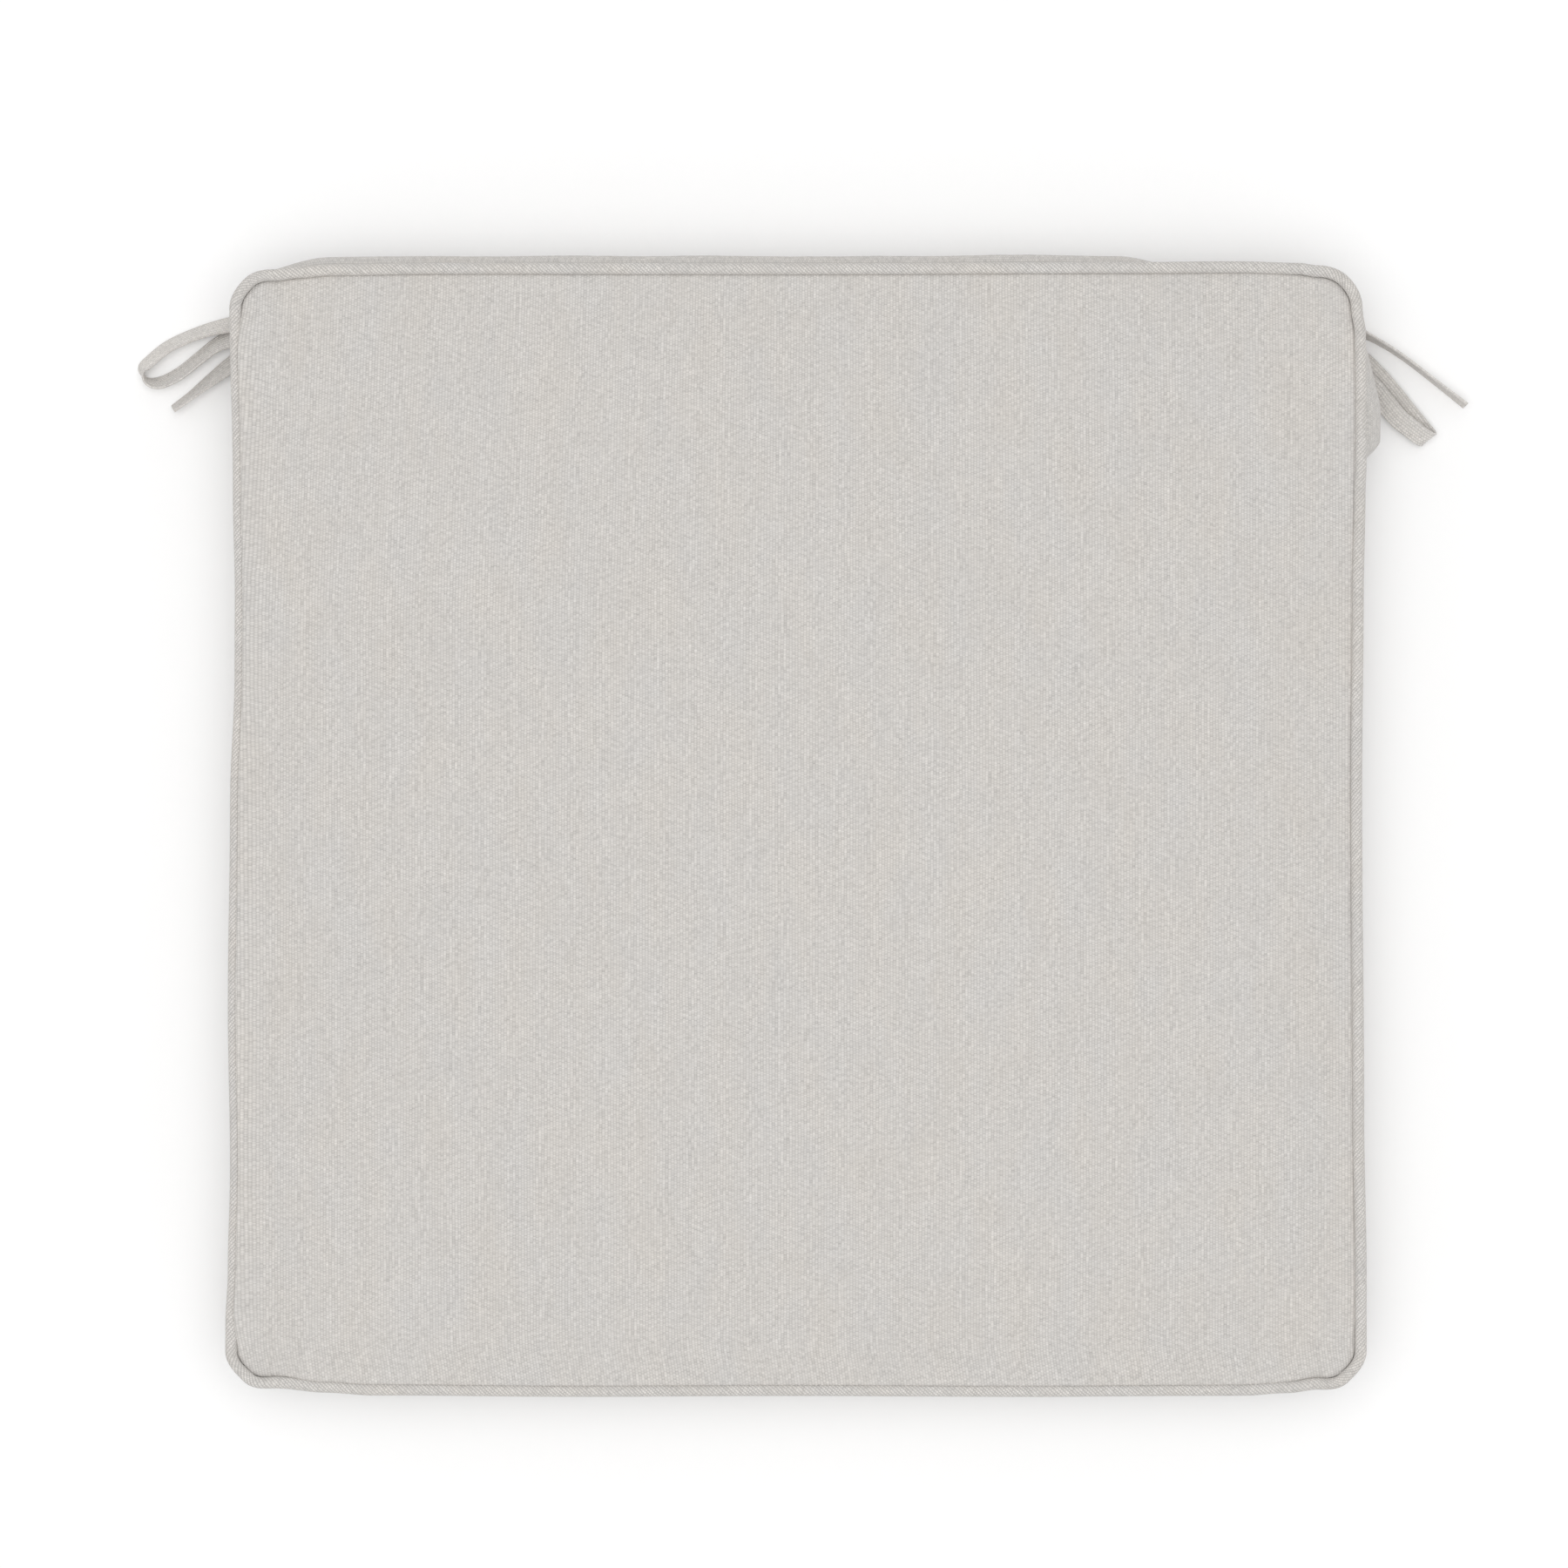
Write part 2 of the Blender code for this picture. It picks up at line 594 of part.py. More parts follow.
def smooth_rows(rows, step):
    """Rows read from a smooth curve through the given rows, about step apart."""
    columns = len(rows[0])
    ends = [rows[0], *rows, rows[-1]]
    fine = []
    for index in range(1, len(ends) - 2):
        before, start, end, after = ends[index - 1 : index + 3]
        for part in range(8):
            t = part / 8
            row = []
            for column in range(columns):
                a, b, c, d = before[column], start[column], end[column], after[column]
                bend = (c - a) * t + (2 * a - 5 * b + 4 * c - d) * t * t + (3 * b - a - 3 * c + d) * t**3
                row.append(b + bend / 2)
            fine.append(row)
    fine.append(list(rows[-1]))
    travelled = [0.0]
    for first, second in zip(fine, fine[1:]):
        travelled.append(travelled[-1] + math.dist(first[:3], second[:3]))
    count = round(travelled[-1] / step)
    spaced = []
    place = 0
    for number in range(count + 1):
        target = travelled[-1] * number / count
        while place < len(travelled) - 2 and travelled[place + 1] < target:
            place += 1
        share = (target - travelled[place]) / (travelled[place + 1] - travelled[place])
        spaced.append([a + (b - a) * share for a, b in zip(fine[place], fine[place + 1])])
    return spaced


def tie(name, side, rows, material):
    """A flat tape laid along its rows, with its low edge on the floor or on the tape under it."""
    path = []
    for past, behind, lift, heading, lean in rows:
        path.append((side * (PAD_WIDTH / 2 + past * MM), PAD_DEPTH / 2 + behind * MM, lift * MM, heading, lean))
    path = smooth_rows(path, TIE_STEP)
    bm = bmesh.new()
    rings = []
    for index, (x, y, lift, heading, lean) in enumerate(path):
        before, after = path[max(index - 1, 0)], path[min(index + 1, len(path) - 1)]
        tangent = (Vector(after[:3]) - Vector(before[:3])).normalized()
        turn, rise = math.radians(heading), math.radians(lean)
        across = Vector((math.cos(turn) * math.cos(rise), math.sin(turn) * math.cos(rise), math.sin(rise)))
        across = (across - across.dot(tangent) * tangent).normalized()
        normal = tangent.cross(across)
        rest = abs(across.z) * TIE_WIDTH / 2 + abs(normal.z) * TIE_THICKNESS / 2
        middle = Vector((x, y, lift + rest + TIE_FLOOR_GAP))
        across *= TIE_WIDTH / 2
        normal *= TIE_THICKNESS / 2
        corners = (across + normal, normal - across, -across - normal, across - normal)
        rings.append([bm.verts.new(middle + corner) for corner in corners])
    for ring, following in zip(rings, rings[1:]):
        for corner in range(4):
            beside = (corner + 1) % 4
            bm.faces.new((ring[corner], ring[beside], following[beside], following[corner]))
    bm.faces.new(rings[0])
    bm.faces.new(rings[-1])
    return add_object(name, bm, material)


def build():
    for old in list(bpy.data.objects):
        bpy.data.objects.remove(old, do_unlink=True)

    canvas = make_material("canvas", (0.63, 0.61, 0.58), 0.9)
    foam_material = make_material("foam", (0.86, 0.84, 0.74), 0.95)
    fibre = make_material("fibre", (0.93, 0.93, 0.92), 0.95)
    cord_material = make_material("piping_cord", (0.90, 0.88, 0.84), 0.95)
    tape_material = make_material("zip_tape", (0.58, 0.56, 0.53), 0.85)
    nylon = make_material("coil", (0.55, 0.53, 0.50), 0.35)
    metal = make_material("slider_metal", (0.62, 0.61, 0.59), 0.32, 1.0)

    foam("foam_core", foam_material)
    batting("batting_top", 1, fibre)
    batting("batting_bottom", -1, fibre)
    panel("top_panel", 1, canvas)
    panel("bottom_panel", -1, canvas)
    welt("top_welt_cover", "top_welt_cord", 1, canvas, cord_material)
    welt("bottom_welt_cover", "bottom_welt_cord", -1, canvas, cord_material)
    boxing_band("boxing_band", canvas)
    for side, place in ((1, "upper"), (-1, "lower")):
        zipper_band("zipper_band_" + place, side, canvas)
        zipper_tape("zipper_tape_" + place, side, tape_material)
        zipper_coil("zipper_coil_" + place, side, nylon)
    zipper_slider("zipper_slider", metal, (SLIDER_AT, HALF_DEPTH, MIDDLE))
    zipper_pull("zipper_pull", metal, (SLIDER_AT, HALF_DEPTH + PULL_AXIS, MIDDLE))
    tie("tie_left_loop", -1, LEFT_LOOP, canvas)
    tie("tie_left_tail", -1, LEFT_TAIL, canvas)
    tie("tie_right_tail", 1, RIGHT_TAIL, canvas)
    tie("tie_right_loop", 1, RIGHT_LOOP, canvas)


build()
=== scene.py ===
"""A boxed chair seat pad in pale ribbed canvas, with piped edges, a rear zip and flat fabric ties.

The cover is one closed shape that the cloth simulation fills out. It is then cut along its seams into the
panels it is sewn from. Every cloth piece carries a UV map named "cloth", in metres along and across its weave.
"""

import json
import math

import bmesh
import bpy
from mathutils import Matrix, Vector, noise
from mathutils.bvhtree import BVHTree

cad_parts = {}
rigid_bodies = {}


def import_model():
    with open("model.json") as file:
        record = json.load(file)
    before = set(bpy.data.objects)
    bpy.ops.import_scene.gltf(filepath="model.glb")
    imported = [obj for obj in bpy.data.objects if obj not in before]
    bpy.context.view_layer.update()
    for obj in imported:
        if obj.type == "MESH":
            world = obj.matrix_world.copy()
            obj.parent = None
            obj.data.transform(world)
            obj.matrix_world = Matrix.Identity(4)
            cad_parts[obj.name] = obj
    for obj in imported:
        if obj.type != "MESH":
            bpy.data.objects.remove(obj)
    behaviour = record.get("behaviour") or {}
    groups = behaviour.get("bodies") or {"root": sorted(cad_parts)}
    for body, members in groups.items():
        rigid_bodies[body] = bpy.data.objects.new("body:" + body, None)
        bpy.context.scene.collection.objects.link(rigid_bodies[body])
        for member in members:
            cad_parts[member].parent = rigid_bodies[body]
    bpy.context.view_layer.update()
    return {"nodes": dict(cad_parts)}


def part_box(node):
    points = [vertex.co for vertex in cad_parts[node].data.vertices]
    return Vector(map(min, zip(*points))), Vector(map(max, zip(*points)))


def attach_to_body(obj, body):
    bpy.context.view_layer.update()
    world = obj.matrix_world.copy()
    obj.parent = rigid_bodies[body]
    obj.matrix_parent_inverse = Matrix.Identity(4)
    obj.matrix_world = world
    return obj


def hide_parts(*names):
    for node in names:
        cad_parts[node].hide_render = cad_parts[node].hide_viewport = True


bl_info = {
    "name": "Boxed Seat Pad",
    "version": (1, 0, 0),
    "blender": (4, 5, 0),
    "location": "3D Viewport > Sidebar > Seat Pad",
    "description": "Builds a piped and boxed chair seat pad with a rear zip and ties",
    "category": "Add Mesh",
}

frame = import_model()
MM = 0.001

TOP_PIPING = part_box("top_welt_cover")
BOTTOM_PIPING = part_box("bottom_welt_cover")
TOP_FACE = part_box("top_panel")
COIL_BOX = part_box("zipper_coil_upper")
BAND_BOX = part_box("zipper_band_upper")
HALF = TOP_PIPING[1][0]
SIDE_SEAM = BAND_BOX[0][1]

CLOTH_UV = "cloth"
RINGS = 24
SIDES = (
    (Vector((1, 0)), Vector((0, 1))),
    (Vector((0, -1)), Vector((1, 0))),
    (Vector((-1, 0)), Vector((0, -1))),
    (Vector((0, 1)), Vector((-1, 0))),
)

# How far each edge of the piping stands out (+) or in (-), as (place along the side, offset) in millimetres.
# The sides are rear, right, front and left, and each runs clockwise seen from above.
EDGE_SWAY = (
    ((-234, -2.4), (-222, -1.1), (-210, -0.1), (-158, 0.6), (0, 0.4), (150, 0.9), (200, 1.2), (226, 0.5), (234, -0.6)),
    ((-234, 0.5), (-223, 2.0), (-195, 2.4), (-165, 2.3), (-150, 1.8), (-106, 1.0), (-15, 0.3), (128, 1.2), (200, 2.3)),
    ((-234, -2.6), (-221, -1.0), (-200, 0.2), (-100, 0.7), (0, 0.3), (100, 0.7), (191, 0.0), (211, -1.2), (234, -3.2)),
    ((-222, 2.2), (-198, 1.1), (-151, 0.1), (-81, 1.1), (13, 0.1), (70, -1.9), (106, -2.0), (153, -1.2), (231, 0.3)),
)


class SeatPadSizes(bpy.types.PropertyGroup):
    """Sizes of the sewn cover."""

    piping: bpy.props.FloatProperty(
        name="Piping", description="Thickness of the piping", default=0.0053, unit="LENGTH"
    )
    corner: bpy.props.FloatProperty(
        name="Corner", description="Radius of the piping's corners seen from above", default=0.020, unit="LENGTH"
    )
    canvas: bpy.props.FloatProperty(
        name="Canvas", description="Thickness of the cover's cloth", default=0.0007, unit="LENGTH"
    )
    crown: bpy.props.FloatProperty(
        name="Crown",
        description="How far the middle of the top stands above its seam",
        default=TOP_FACE[1][2] - (TOP_PIPING[1][2] - 0.00265),
        unit="LENGTH",
    )
    crown_run: bpy.props.FloatProperty(
        name="Crown run", description="Width of the sloping border of each face", default=0.090, unit="LENGTH"
    )
    zip_gap: bpy.props.FloatProperty(
        name="Zip gap", description="Gap between the two strips beside the zip", default=0.010, unit="LENGTH"
    )
    rear_puff: bpy.props.FloatProperty(
        name="Rear puff", description="How far the strip above the zip puffs out", default=0.0058, unit="LENGTH"
    )
    tuck_puff: bpy.props.FloatProperty(
        name="Side tuck",
        description="How far the spare cloth at the right side seam stands out",
        default=0.0094,
        unit="LENGTH",
    )
    pucker: bpy.props.FloatProperty(
        name="Pucker", description="Depth of the small gathers beside the seams", default=0.00035, unit="LENGTH"
    )
    tie_width: bpy.props.FloatProperty(
        name="Tie width", description="Width of the tie tape", default=0.0095, unit="LENGTH"
    )
    tie_thickness: bpy.props.FloatProperty(
        name="Tie thickness", description="Thickness of the tie tape", default=0.0014, unit="LENGTH"
    )


class SeatPadLooks(bpy.types.PropertyGroup):
    """Colours and weave of the cover."""

    canvas: bpy.props.FloatVectorProperty(
        name="Canvas",
        description="Colour of the canvas",
        default=(0.586, 0.563, 0.536),
        subtype="COLOR",
        min=0.0,
        max=1.0,
    )
    rib: bpy.props.FloatProperty(
        name="Rib", description="Width of one rib of the weave", default=0.00129, unit="LENGTH"
    )
    bead: bpy.props.FloatProperty(
        name="Bead", description="Length of one bead along a rib", default=0.0011, unit="LENGTH"
    )
    floor: bpy.props.FloatVectorProperty(
        name="Floor", description="Colour of the floor", default=(0.975, 0.975, 0.975), subtype="COLOR", min=0.0, max=1.0
    )


class SeatPadStage(bpy.types.PropertyGroup):
    """The camera and the light."""

    height: bpy.props.FloatProperty(
        name="Camera height", description="Height of the camera above the top seam", default=2.4, unit="LENGTH"
    )
    width: bpy.props.FloatProperty(
        name="View width", description="Width seen at the height of the top seam", default=0.7038, unit="LENGTH"
    )
    aim: bpy.props.FloatVectorProperty(
        name="Aim", description="Point that the camera looks down at", default=(-0.0053, 0.0205), size=2, unit="LENGTH"
    )
    sky: bpy.props.FloatProperty(name="Sky", description="Brightness of the light from all round", default=0.715)
    lamp: bpy.props.FloatProperty(
        name="Lamp", description="Power of the overhead light", default=38.0, unit="POWER"
    )


# Shapes


def smooth_between(low, high, value):
    share = min(1.0, max(0.0, (value - low) / (high - low)))
    return share * share * (3 - 2 * share)


def through_points(points, place):
    """A smooth value read between (place, value) points."""
    for (start, first), (end, second) in zip(points, points[1:]):
        if place <= end:
            return first + (second - first) * smooth_between(start, end, place)
    return points[-1][1]


def side_of(x, y):
    """Which side a point belongs to."""
    if abs(x) > abs(y):
        return 1 if x > 0 else 3
    return 0 if y > 0 else 2


CORNER_SHARE = 4 / RINGS


def sway_at(side, along, way, into_corner):
    """How far the outline stands out there. A corner blends the ends of the two sides that meet in it."""
    own = through_points(EDGE_SWAY[side], along / MM)
    if into_corner > 0:
        beside = EDGE_SWAY[(side + 1) % 4][0] if way > 0 else EDGE_SWAY[side - 1][-1]
        own += (beside[1] - own) * 0.5 * smooth_between(0.0, 1.0, into_corner)
    return own * MM


def outline(square, half, radius):
    """Carries a point on the edge of the unit square to a rounded outline.

    Returns the point, the direction out of the outline there and the distance round it."""
    side = side_of(square.x, square.y)
    along_axis, out_axis = SIDES[side]
    share = square.dot(along_axis)
    straight = half - radius
    arc = radius * math.pi / 4
    break_share = 1 - CORNER_SHARE
    way = math.copysign(1.0, share)
    into_corner = 0.0
    if abs(share) <= break_share:
        along = share / break_share * straight
        point = along_axis * along + out_axis * half
        outward = out_axis
        travelled = along
    else:
        into_corner = (abs(share) - break_share) / CORNER_SHARE
        turn = into_corner * math.pi / 4
        outward = along_axis * way * math.sin(turn) + out_axis * math.cos(turn)
        point = along_axis * way * straight + out_axis * straight + outward * radius
        travelled = way * (straight + radius * turn)
    sway = sway_at(side, way * min(abs(point.dot(along_axis)), straight), way, into_corner)
    return point + outward * sway, outward, (2 * side + 1) * (straight + arc) + travelled


def face_share(sizes, inset):
    """How much of the full crown a face has at an inset from its seam."""
    share = min(1.0, max(0.0, inset / sizes.crown_run))
    return 1 - (1 - share) ** 1.5


def link_mesh(name, mesh, material=None):
    new_object = bpy.data.objects.new(name, mesh)
    bpy.context.scene.collection.objects.link(new_object)
    if material is not None:
        mesh.materials.clear()
        mesh.materials.append(material)
    return new_object


def finish_bmesh(name, bm, material=None, smooth=True):
    mesh = bpy.data.meshes.new(name)
    bm.to_mesh(mesh)
    bm.free()
    if smooth:
        mesh.shade_smooth()
    return link_mesh(name, mesh, material)


def apply_modifiers(piece):
    """Makes a piece's modifiers part of its mesh."""
    depsgraph = bpy.context.evaluated_depsgraph_get()
    mesh = bpy.data.meshes.new_from_object(piece.evaluated_get(depsgraph), depsgraph=depsgraph)
    old = piece.data
    piece.modifiers.clear()
    piece.data = mesh
    mesh.name = piece.name
    bpy.data.meshes.remove(old)


def add_wall(piece, thickness):
    wall = piece.modifiers.new("wall", "SOLIDIFY")
    wall.thickness = thickness
    wall.offset = -1.0
    wall.use_quality_normals = True


def sweep_rings(bm, rings, closed, along, around):
    """Extrudes a ring of vertices from place to place, and closes it into a loop or at its ends."""
    ring = bmesh.ops.create_circle(bm, cap_ends=False, radius=1.0, segments=len(rings[0]))["verts"]
    places = {}
    for corner, (vert, point) in enumerate(zip(ring, rings[0])):
        vert.co = point
        places[vert] = (0, corner)
    first = [edge for edge in bm.edges if edge.verts[0] in places and edge.verts[1] in places]
    edges = first
    for index, points in enumerate(rings[1:], start=1):
        made = bmesh.ops.extrude_edge_only(bm, edges=edges)["geom"]
        fresh = {item for item in made if isinstance(item, bmesh.types.BMVert)}
        following = []
        for old in ring:
            following.append(next(e.other_vert(old) for e in old.link_edges if e.other_vert(old) in fresh))
        edges = [
            item
            for item in made
            if isinstance(item, bmesh.types.BMEdge) and item.verts[0] in fresh and item.verts[1] in fresh
        ]
        for corner, (vert, point) in enumerate(zip(following, points)):
            vert.co = point
            places[vert] = (index, corner)
        ring = following
    if closed:
        bmesh.ops.bridge_loops(bm, edges=first + edges)
    else:
        bmesh.ops.contextual_create(bm, geom=first)
        bmesh.ops.contextual_create(bm, geom=edges)
    uv_layer = bm.loops.layers.uv.get(CLOTH_UV) or bm.loops.layers.uv.new(CLOTH_UV)
    for face in bm.faces:
        if any(vert not in places for vert in face.verts):
            continue
        stations = [places[vert][0] for vert in face.verts]
        corners = [places[vert][1] for vert in face.verts]
        for loop, station, corner in zip(face.loops, stations, corners):
            if max(stations) - min(stations) > 1 and station == 0:
                station = len(rings)
            if len(face.verts) == 4 and max(corners) - min(corners) > 1 and corner == 0:
                corner = len(rings[0])
            loop[uv_layer].uv = (around[corner], along[station])
    bmesh.ops.recalc_face_normals(bm, faces=bm.faces)


# The cover, as one closed shape on the unit square

SIDE_ROWS = (0.0, 0.13, 0.28, 0.45, 0.62, 1.0)


def side_profile(sizes):
    """The boxing from its top seam to its bottom one, as (distance out, height) rows."""
    radius = sizes.piping / 2
    top = TOP_PIPING[1][2] - radius
    bottom = BOTTOM_PIPING[0][2] + radius
    middle = (top + bottom) / 2
    tucked = radius * 0.92
    high = [(top - tucked) + (middle + sizes.zip_gap / 2 - top + tucked) * share for share in SIDE_ROWS]
    rows = high + [middle] + [2 * middle - height for height in high[::-1]]
    span = high[0] - middle
    profile = []
    for height in rows:
        bulge = math.sin(min(1.0, (span - abs(height - middle)) / (span - sizes.zip_gap / 2)) * math.pi / 2)
        profile.append((-0.0008 + 0.0027 * bulge, height))
    return profile, top, bottom, middle


def unit_cover(rows):
    """A closed box over the unit square: two grids, bridged, with rows of faces down its side."""
    bm = bmesh.new()
    top = bmesh.ops.create_grid(bm, x_segments=2 * RINGS, y_segments=2 * RINGS, size=1.0)["verts"]
    bmesh.ops.translate(bm, vec=(0, 0, 1), verts=top)
    copied = bmesh.ops.duplicate(bm, geom=bm.verts[:] + bm.edges[:] + bm.faces[:])["geom"]
    bottom = [item for item in copied if isinstance(item, bmesh.types.BMVert)]
    bmesh.ops.reverse_faces(bm, faces=[item for item in copied if isinstance(item, bmesh.types.BMFace)])
    bmesh.ops.translate(bm, vec=(0, 0, -2), verts=bottom)
    rim = [edge for edge in bm.edges if edge.is_boundary]
    bmesh.ops.bridge_loops(bm, edges=rim)
    upright = [edge for edge in bm.edges if abs(edge.verts[0].co.z - edge.verts[1].co.z) > 1]
    bmesh.ops.subdivide_edges(bm, edges=upright, cuts=rows, use_grid_fill=True)
    return bm


def flat_place(point):
    """Where a point of a face lies in its flat cloth. The ribs lean a little at the left rear and at the front."""
    rear_lean = 0.035 * max(0.0, point.y - 0.10) * (1 - smooth_between(-0.2, 0.06, point.x))
    front_lean = 0.16 * max(0.0, -0.232 - point.y)
    return point.x - rear_lean - front_lean, point.y


def shape_cover(sizes):
    """Gives the unit cover its real size, marks each face with its panel and lays out the weave."""
    profile, top, bottom, middle = side_profile(sizes)
    rows = len(profile)
    bm = unit_cover(rows)
    radius = sizes.piping / 2
    centre = HALF - radius
    panel_layer = bm.faces.layers.int.new("panel")
    uv_layer = bm.loops.layers.uv.new(CLOTH_UV)
    level = {vert: round((1 - vert.co.z) * (rows + 1) / 2) for vert in bm.verts}
    square = {vert: Vector((vert.co.x, vert.co.y)) for vert in bm.verts}
    travelled = {}
    pinned = []
    opening = COIL_BOX[1][0] + 0.002
    for vert in bm.verts:
        reach = max(abs(square[vert].x), abs(square[vert].y))
        if level[vert] in (0, rows + 1):
            share = 1 - (1 - reach) ** 1.5
            half = (centre - radius * 0.86) * share
            corner = (sizes.corner - radius * 1.86) * share + half * 0.12 * (1 - share)
            inset = (centre - radius) * (1 - share)
            way = 1 if level[vert] == 0 else -1
            seam = top if way > 0 else bottom
            crown = sizes.crown if way > 0 else bottom
            dip = radius * 0.35
            height = seam + way * ((crown + dip) * face_share(sizes, inset) - dip)
            if way < 0:
                height = max(height, 0.0)
            if reach < 1e-6:
                vert.co = (0, 0, height)
                travelled[vert] = 0.0
                continue
            point, outward, travelled[vert] = outline(square[vert] / reach, half, corner)
            vert.co = (point.x, point.y, height)
            if reach > 1 - 1e-6:
                pinned.append(vert)
        else:
            out, height = profile[level[vert] - 1]
            point, outward, travelled[vert] = outline(square[vert], centre, sizes.corner - radius)
            point += outward * out
            vert.co = (point.x, point.y, height)
            beside_zip = level[vert] in (6, 7, 8) and point.y > HALF - sizes.corner
            if level[vert] in (1, rows) or (beside_zip and abs(point.x) < opening + 0.01):
                pinned.append(vert)
    whole = (2 * math.pi * (sizes.corner - radius)) + 8 * (centre - sizes.corner + radius)
    for face in bm.faces:
        levels = [level[vert] for vert in face.verts]
        x, y, _ = face.calc_center_median()
        low, high = min(levels), max(levels)
        if high == 0:
            face[panel_layer] = 1
        elif low == rows + 1:
            face[panel_layer] = 2
        elif low == 0 or high == rows + 1:
            face[panel_layer] = 0
        elif y > SIDE_SEAM:
            in_gap = 6 <= low and high <= 8 and abs(x) < opening and y > HALF - sizes.corner
            face[panel_layer] = 0 if in_gap else (4 if high <= 7 else 5)
        else:
            face[panel_layer] = 3
        distances = [travelled[vert] for vert in face.verts]
        for loop, distance in zip(face.loops, distances):
            if face[panel_layer] in (1, 2):
                loop[uv_layer].uv = flat_place(loop.vert.co)
                continue
            if max(distances) - distance > whole / 2:
                distance += whole
            loop[uv_layer].uv = (loop.vert.co.z, distance)
    return bm, pinned


def fill_out(piece, pinned):
    """Blows the cover up as a filled cushion and keeps how each point moved."""
    before = [vert.co.copy() for vert in piece.data.vertices]
    group = piece.vertex_groups.new(name="seams")
    group.add(pinned, 1.0, "REPLACE")
    cloth = piece.modifiers.new("filling", "CLOTH")
    cloth.settings.quality = 6
    cloth.settings.mass = 0.3
    cloth.settings.tension_stiffness = 25
    cloth.settings.compression_stiffness = 25
    cloth.settings.shear_stiffness = 8
    cloth.settings.bending_stiffness = 0.4
    cloth.settings.use_pressure = True
    cloth.settings.uniform_pressure_force = 4.0
    cloth.settings.vertex_group_mass = "seams"
    cloth.settings.effector_weights.gravity = 0.0
    cloth.collision_settings.use_self_collision = False
    cloth.point_cache.frame_start = 1
    cloth.point_cache.frame_end = 20
    scene = bpy.context.scene
    for number in range(1, 21):
        scene.frame_set(number)
    apply_modifiers(piece)
    scene.frame_set(1)
    moved = [vert.co - old for vert, old in zip(piece.data.vertices, before)]
    return before, moved


def keep_in_size(piece, before, moved):
    """Scales the simulated swelling down to about a millimetre, and stops it at the floor."""
    top = max(old.z for old in before)
    lifts = [move.z for old, move in zip(before, moved) if old.z > top - 0.001]
    largest = max(lifts) if lifts else 0.0
    share = min(1.0, 0.0012 / largest) if largest > 0 else 0.0
    for vert, old, move in zip(piece.data.vertices, before, moved):
        step = move * share
        if step.length > 0.003:
            step *= 0.003 / step.length
        vert.co = old + step
        vert.co.z = max(vert.co.z, 0.0)


PANELS = {"top_cover": 1, "bottom_cover": 2, "boxing_cover": 3, "zip_strip_upper": 4, "zip_strip_lower": 5}


def panel_from(cover, name, number):
    """Cuts one panel out of the filled cover and gives it a finer mesh."""
    bm = bmesh.new()
    bm.from_mesh(cover.data)
    layer = bm.faces.layers.int.get("panel")
    others = [face for face in bm.faces if face[layer] != number]
    bmesh.ops.delete(bm, geom=others, context="FACES")
    piece = finish_bmesh(name, bm)
    finer = piece.modifiers.new("finer", "SUBSURF")
    finer.levels = 2
    finer.render_levels = 2
    finer.boundary_smooth = "PRESERVE_CORNERS"
    apply_modifiers(piece)
    return piece


def gather(place, spacing):
    """Irregular gathers along a seam, from -1 to 1."""
    return noise.noise(Vector((place / spacing, 3.7, 1.3))) + 0.5 * noise.noise(Vector((place / spacing * 2.3, 8.1, 0)))


def around(x, y):
    """Distance round the pad, near enough for gathers."""
    return math.atan2(y, x) * HALF * 1.3


# How far the top rolls out over the piping on each side, and how deep the seam sits below it, in metres.
ROLL_OVER = (0.0006, 0.0006, 0.0015, 0.0027)
SEAM_DEPTH = (0.0004, 0.0002, 0.0030, 0.0010)


def rolled_over(side, along):
    """How far the top rolls over the piping there. It stops short of the corners."""
    return ROLL_OVER[side] * (1 - smooth_between(0.214, 0.240, abs(along)))


def inside_piping(x, y, sizes):
    """How far a point lies inside the piping, with its side and its place along that side."""
    side = side_of(x, y)
    along_axis, out_axis = SIDES[side]
    along = x * along_axis.x + y * along_axis.y
    straight = HALF - sizes.corner
    past = max(abs(along) - straight, 0.0)
    beyond = x * out_axis.x + y * out_axis.y - straight
    reach = math.hypot(past, beyond) if beyond > 0 else beyond
    into_corner = math.atan2(past, max(beyond, MM)) / (math.pi / 4)
    way = math.copysign(1.0, along)
    sway = sway_at(side, way * min(abs(along), straight), way, min(into_corner, 1.0))
    return sizes.corner - sizes.piping - reach + sway, side, along


def detail_face(piece, sizes, way):
    """Gathers beside the seam, and the roll of the face over the piping."""
    for vert in piece.data.vertices:
        x, y, z = vert.co
        inset, side, along = inside_piping(x, y, sizes)
        out_axis = SIDES[side][1]
        fade = math.exp(-max(inset, 0.0) / 0.011)
        rise = 1 - math.exp(-max(inset, 0.0) / 0.0016)
        near_corner = smooth_between(0.17, 0.24, min(abs(x), abs(y)))
        depth = sizes.pucker * (1 + 1.6 * near_corner)
        vert.co.z += way * depth * fade * rise * gather(around(x, y), 0.011)
        low_wave = noise.noise(Vector((x / 0.09, y / 0.09, 0.4)))
        if way > 0:
            vert.co.z += 0.0004 * max(0.0, 0.7 + low_wave) * (1 - fade)
            sewn = 1 - math.exp(-max(inset + 0.0005, 0.0) / 0.0006)
            roll = rolled_over(side, along) * sewn * math.exp(-((max(inset - 0.0008, 0.0) / 0.0055) ** 2))
            vert.co.x += out_axis.x * roll
            vert.co.y += out_axis.y * roll
            vert.co.z += 1.3 * roll
            corner = smooth_between(0.203, 0.234, abs(along))
            deep = SEAM_DEPTH[side] * (1 - corner) + 0.0006 * corner
            vert.co.z -= deep * math.exp(-(((inset + 0.0001) / 0.0007) ** 2))
        else:
            vert.co.z = max(vert.co.z, 0.0001)


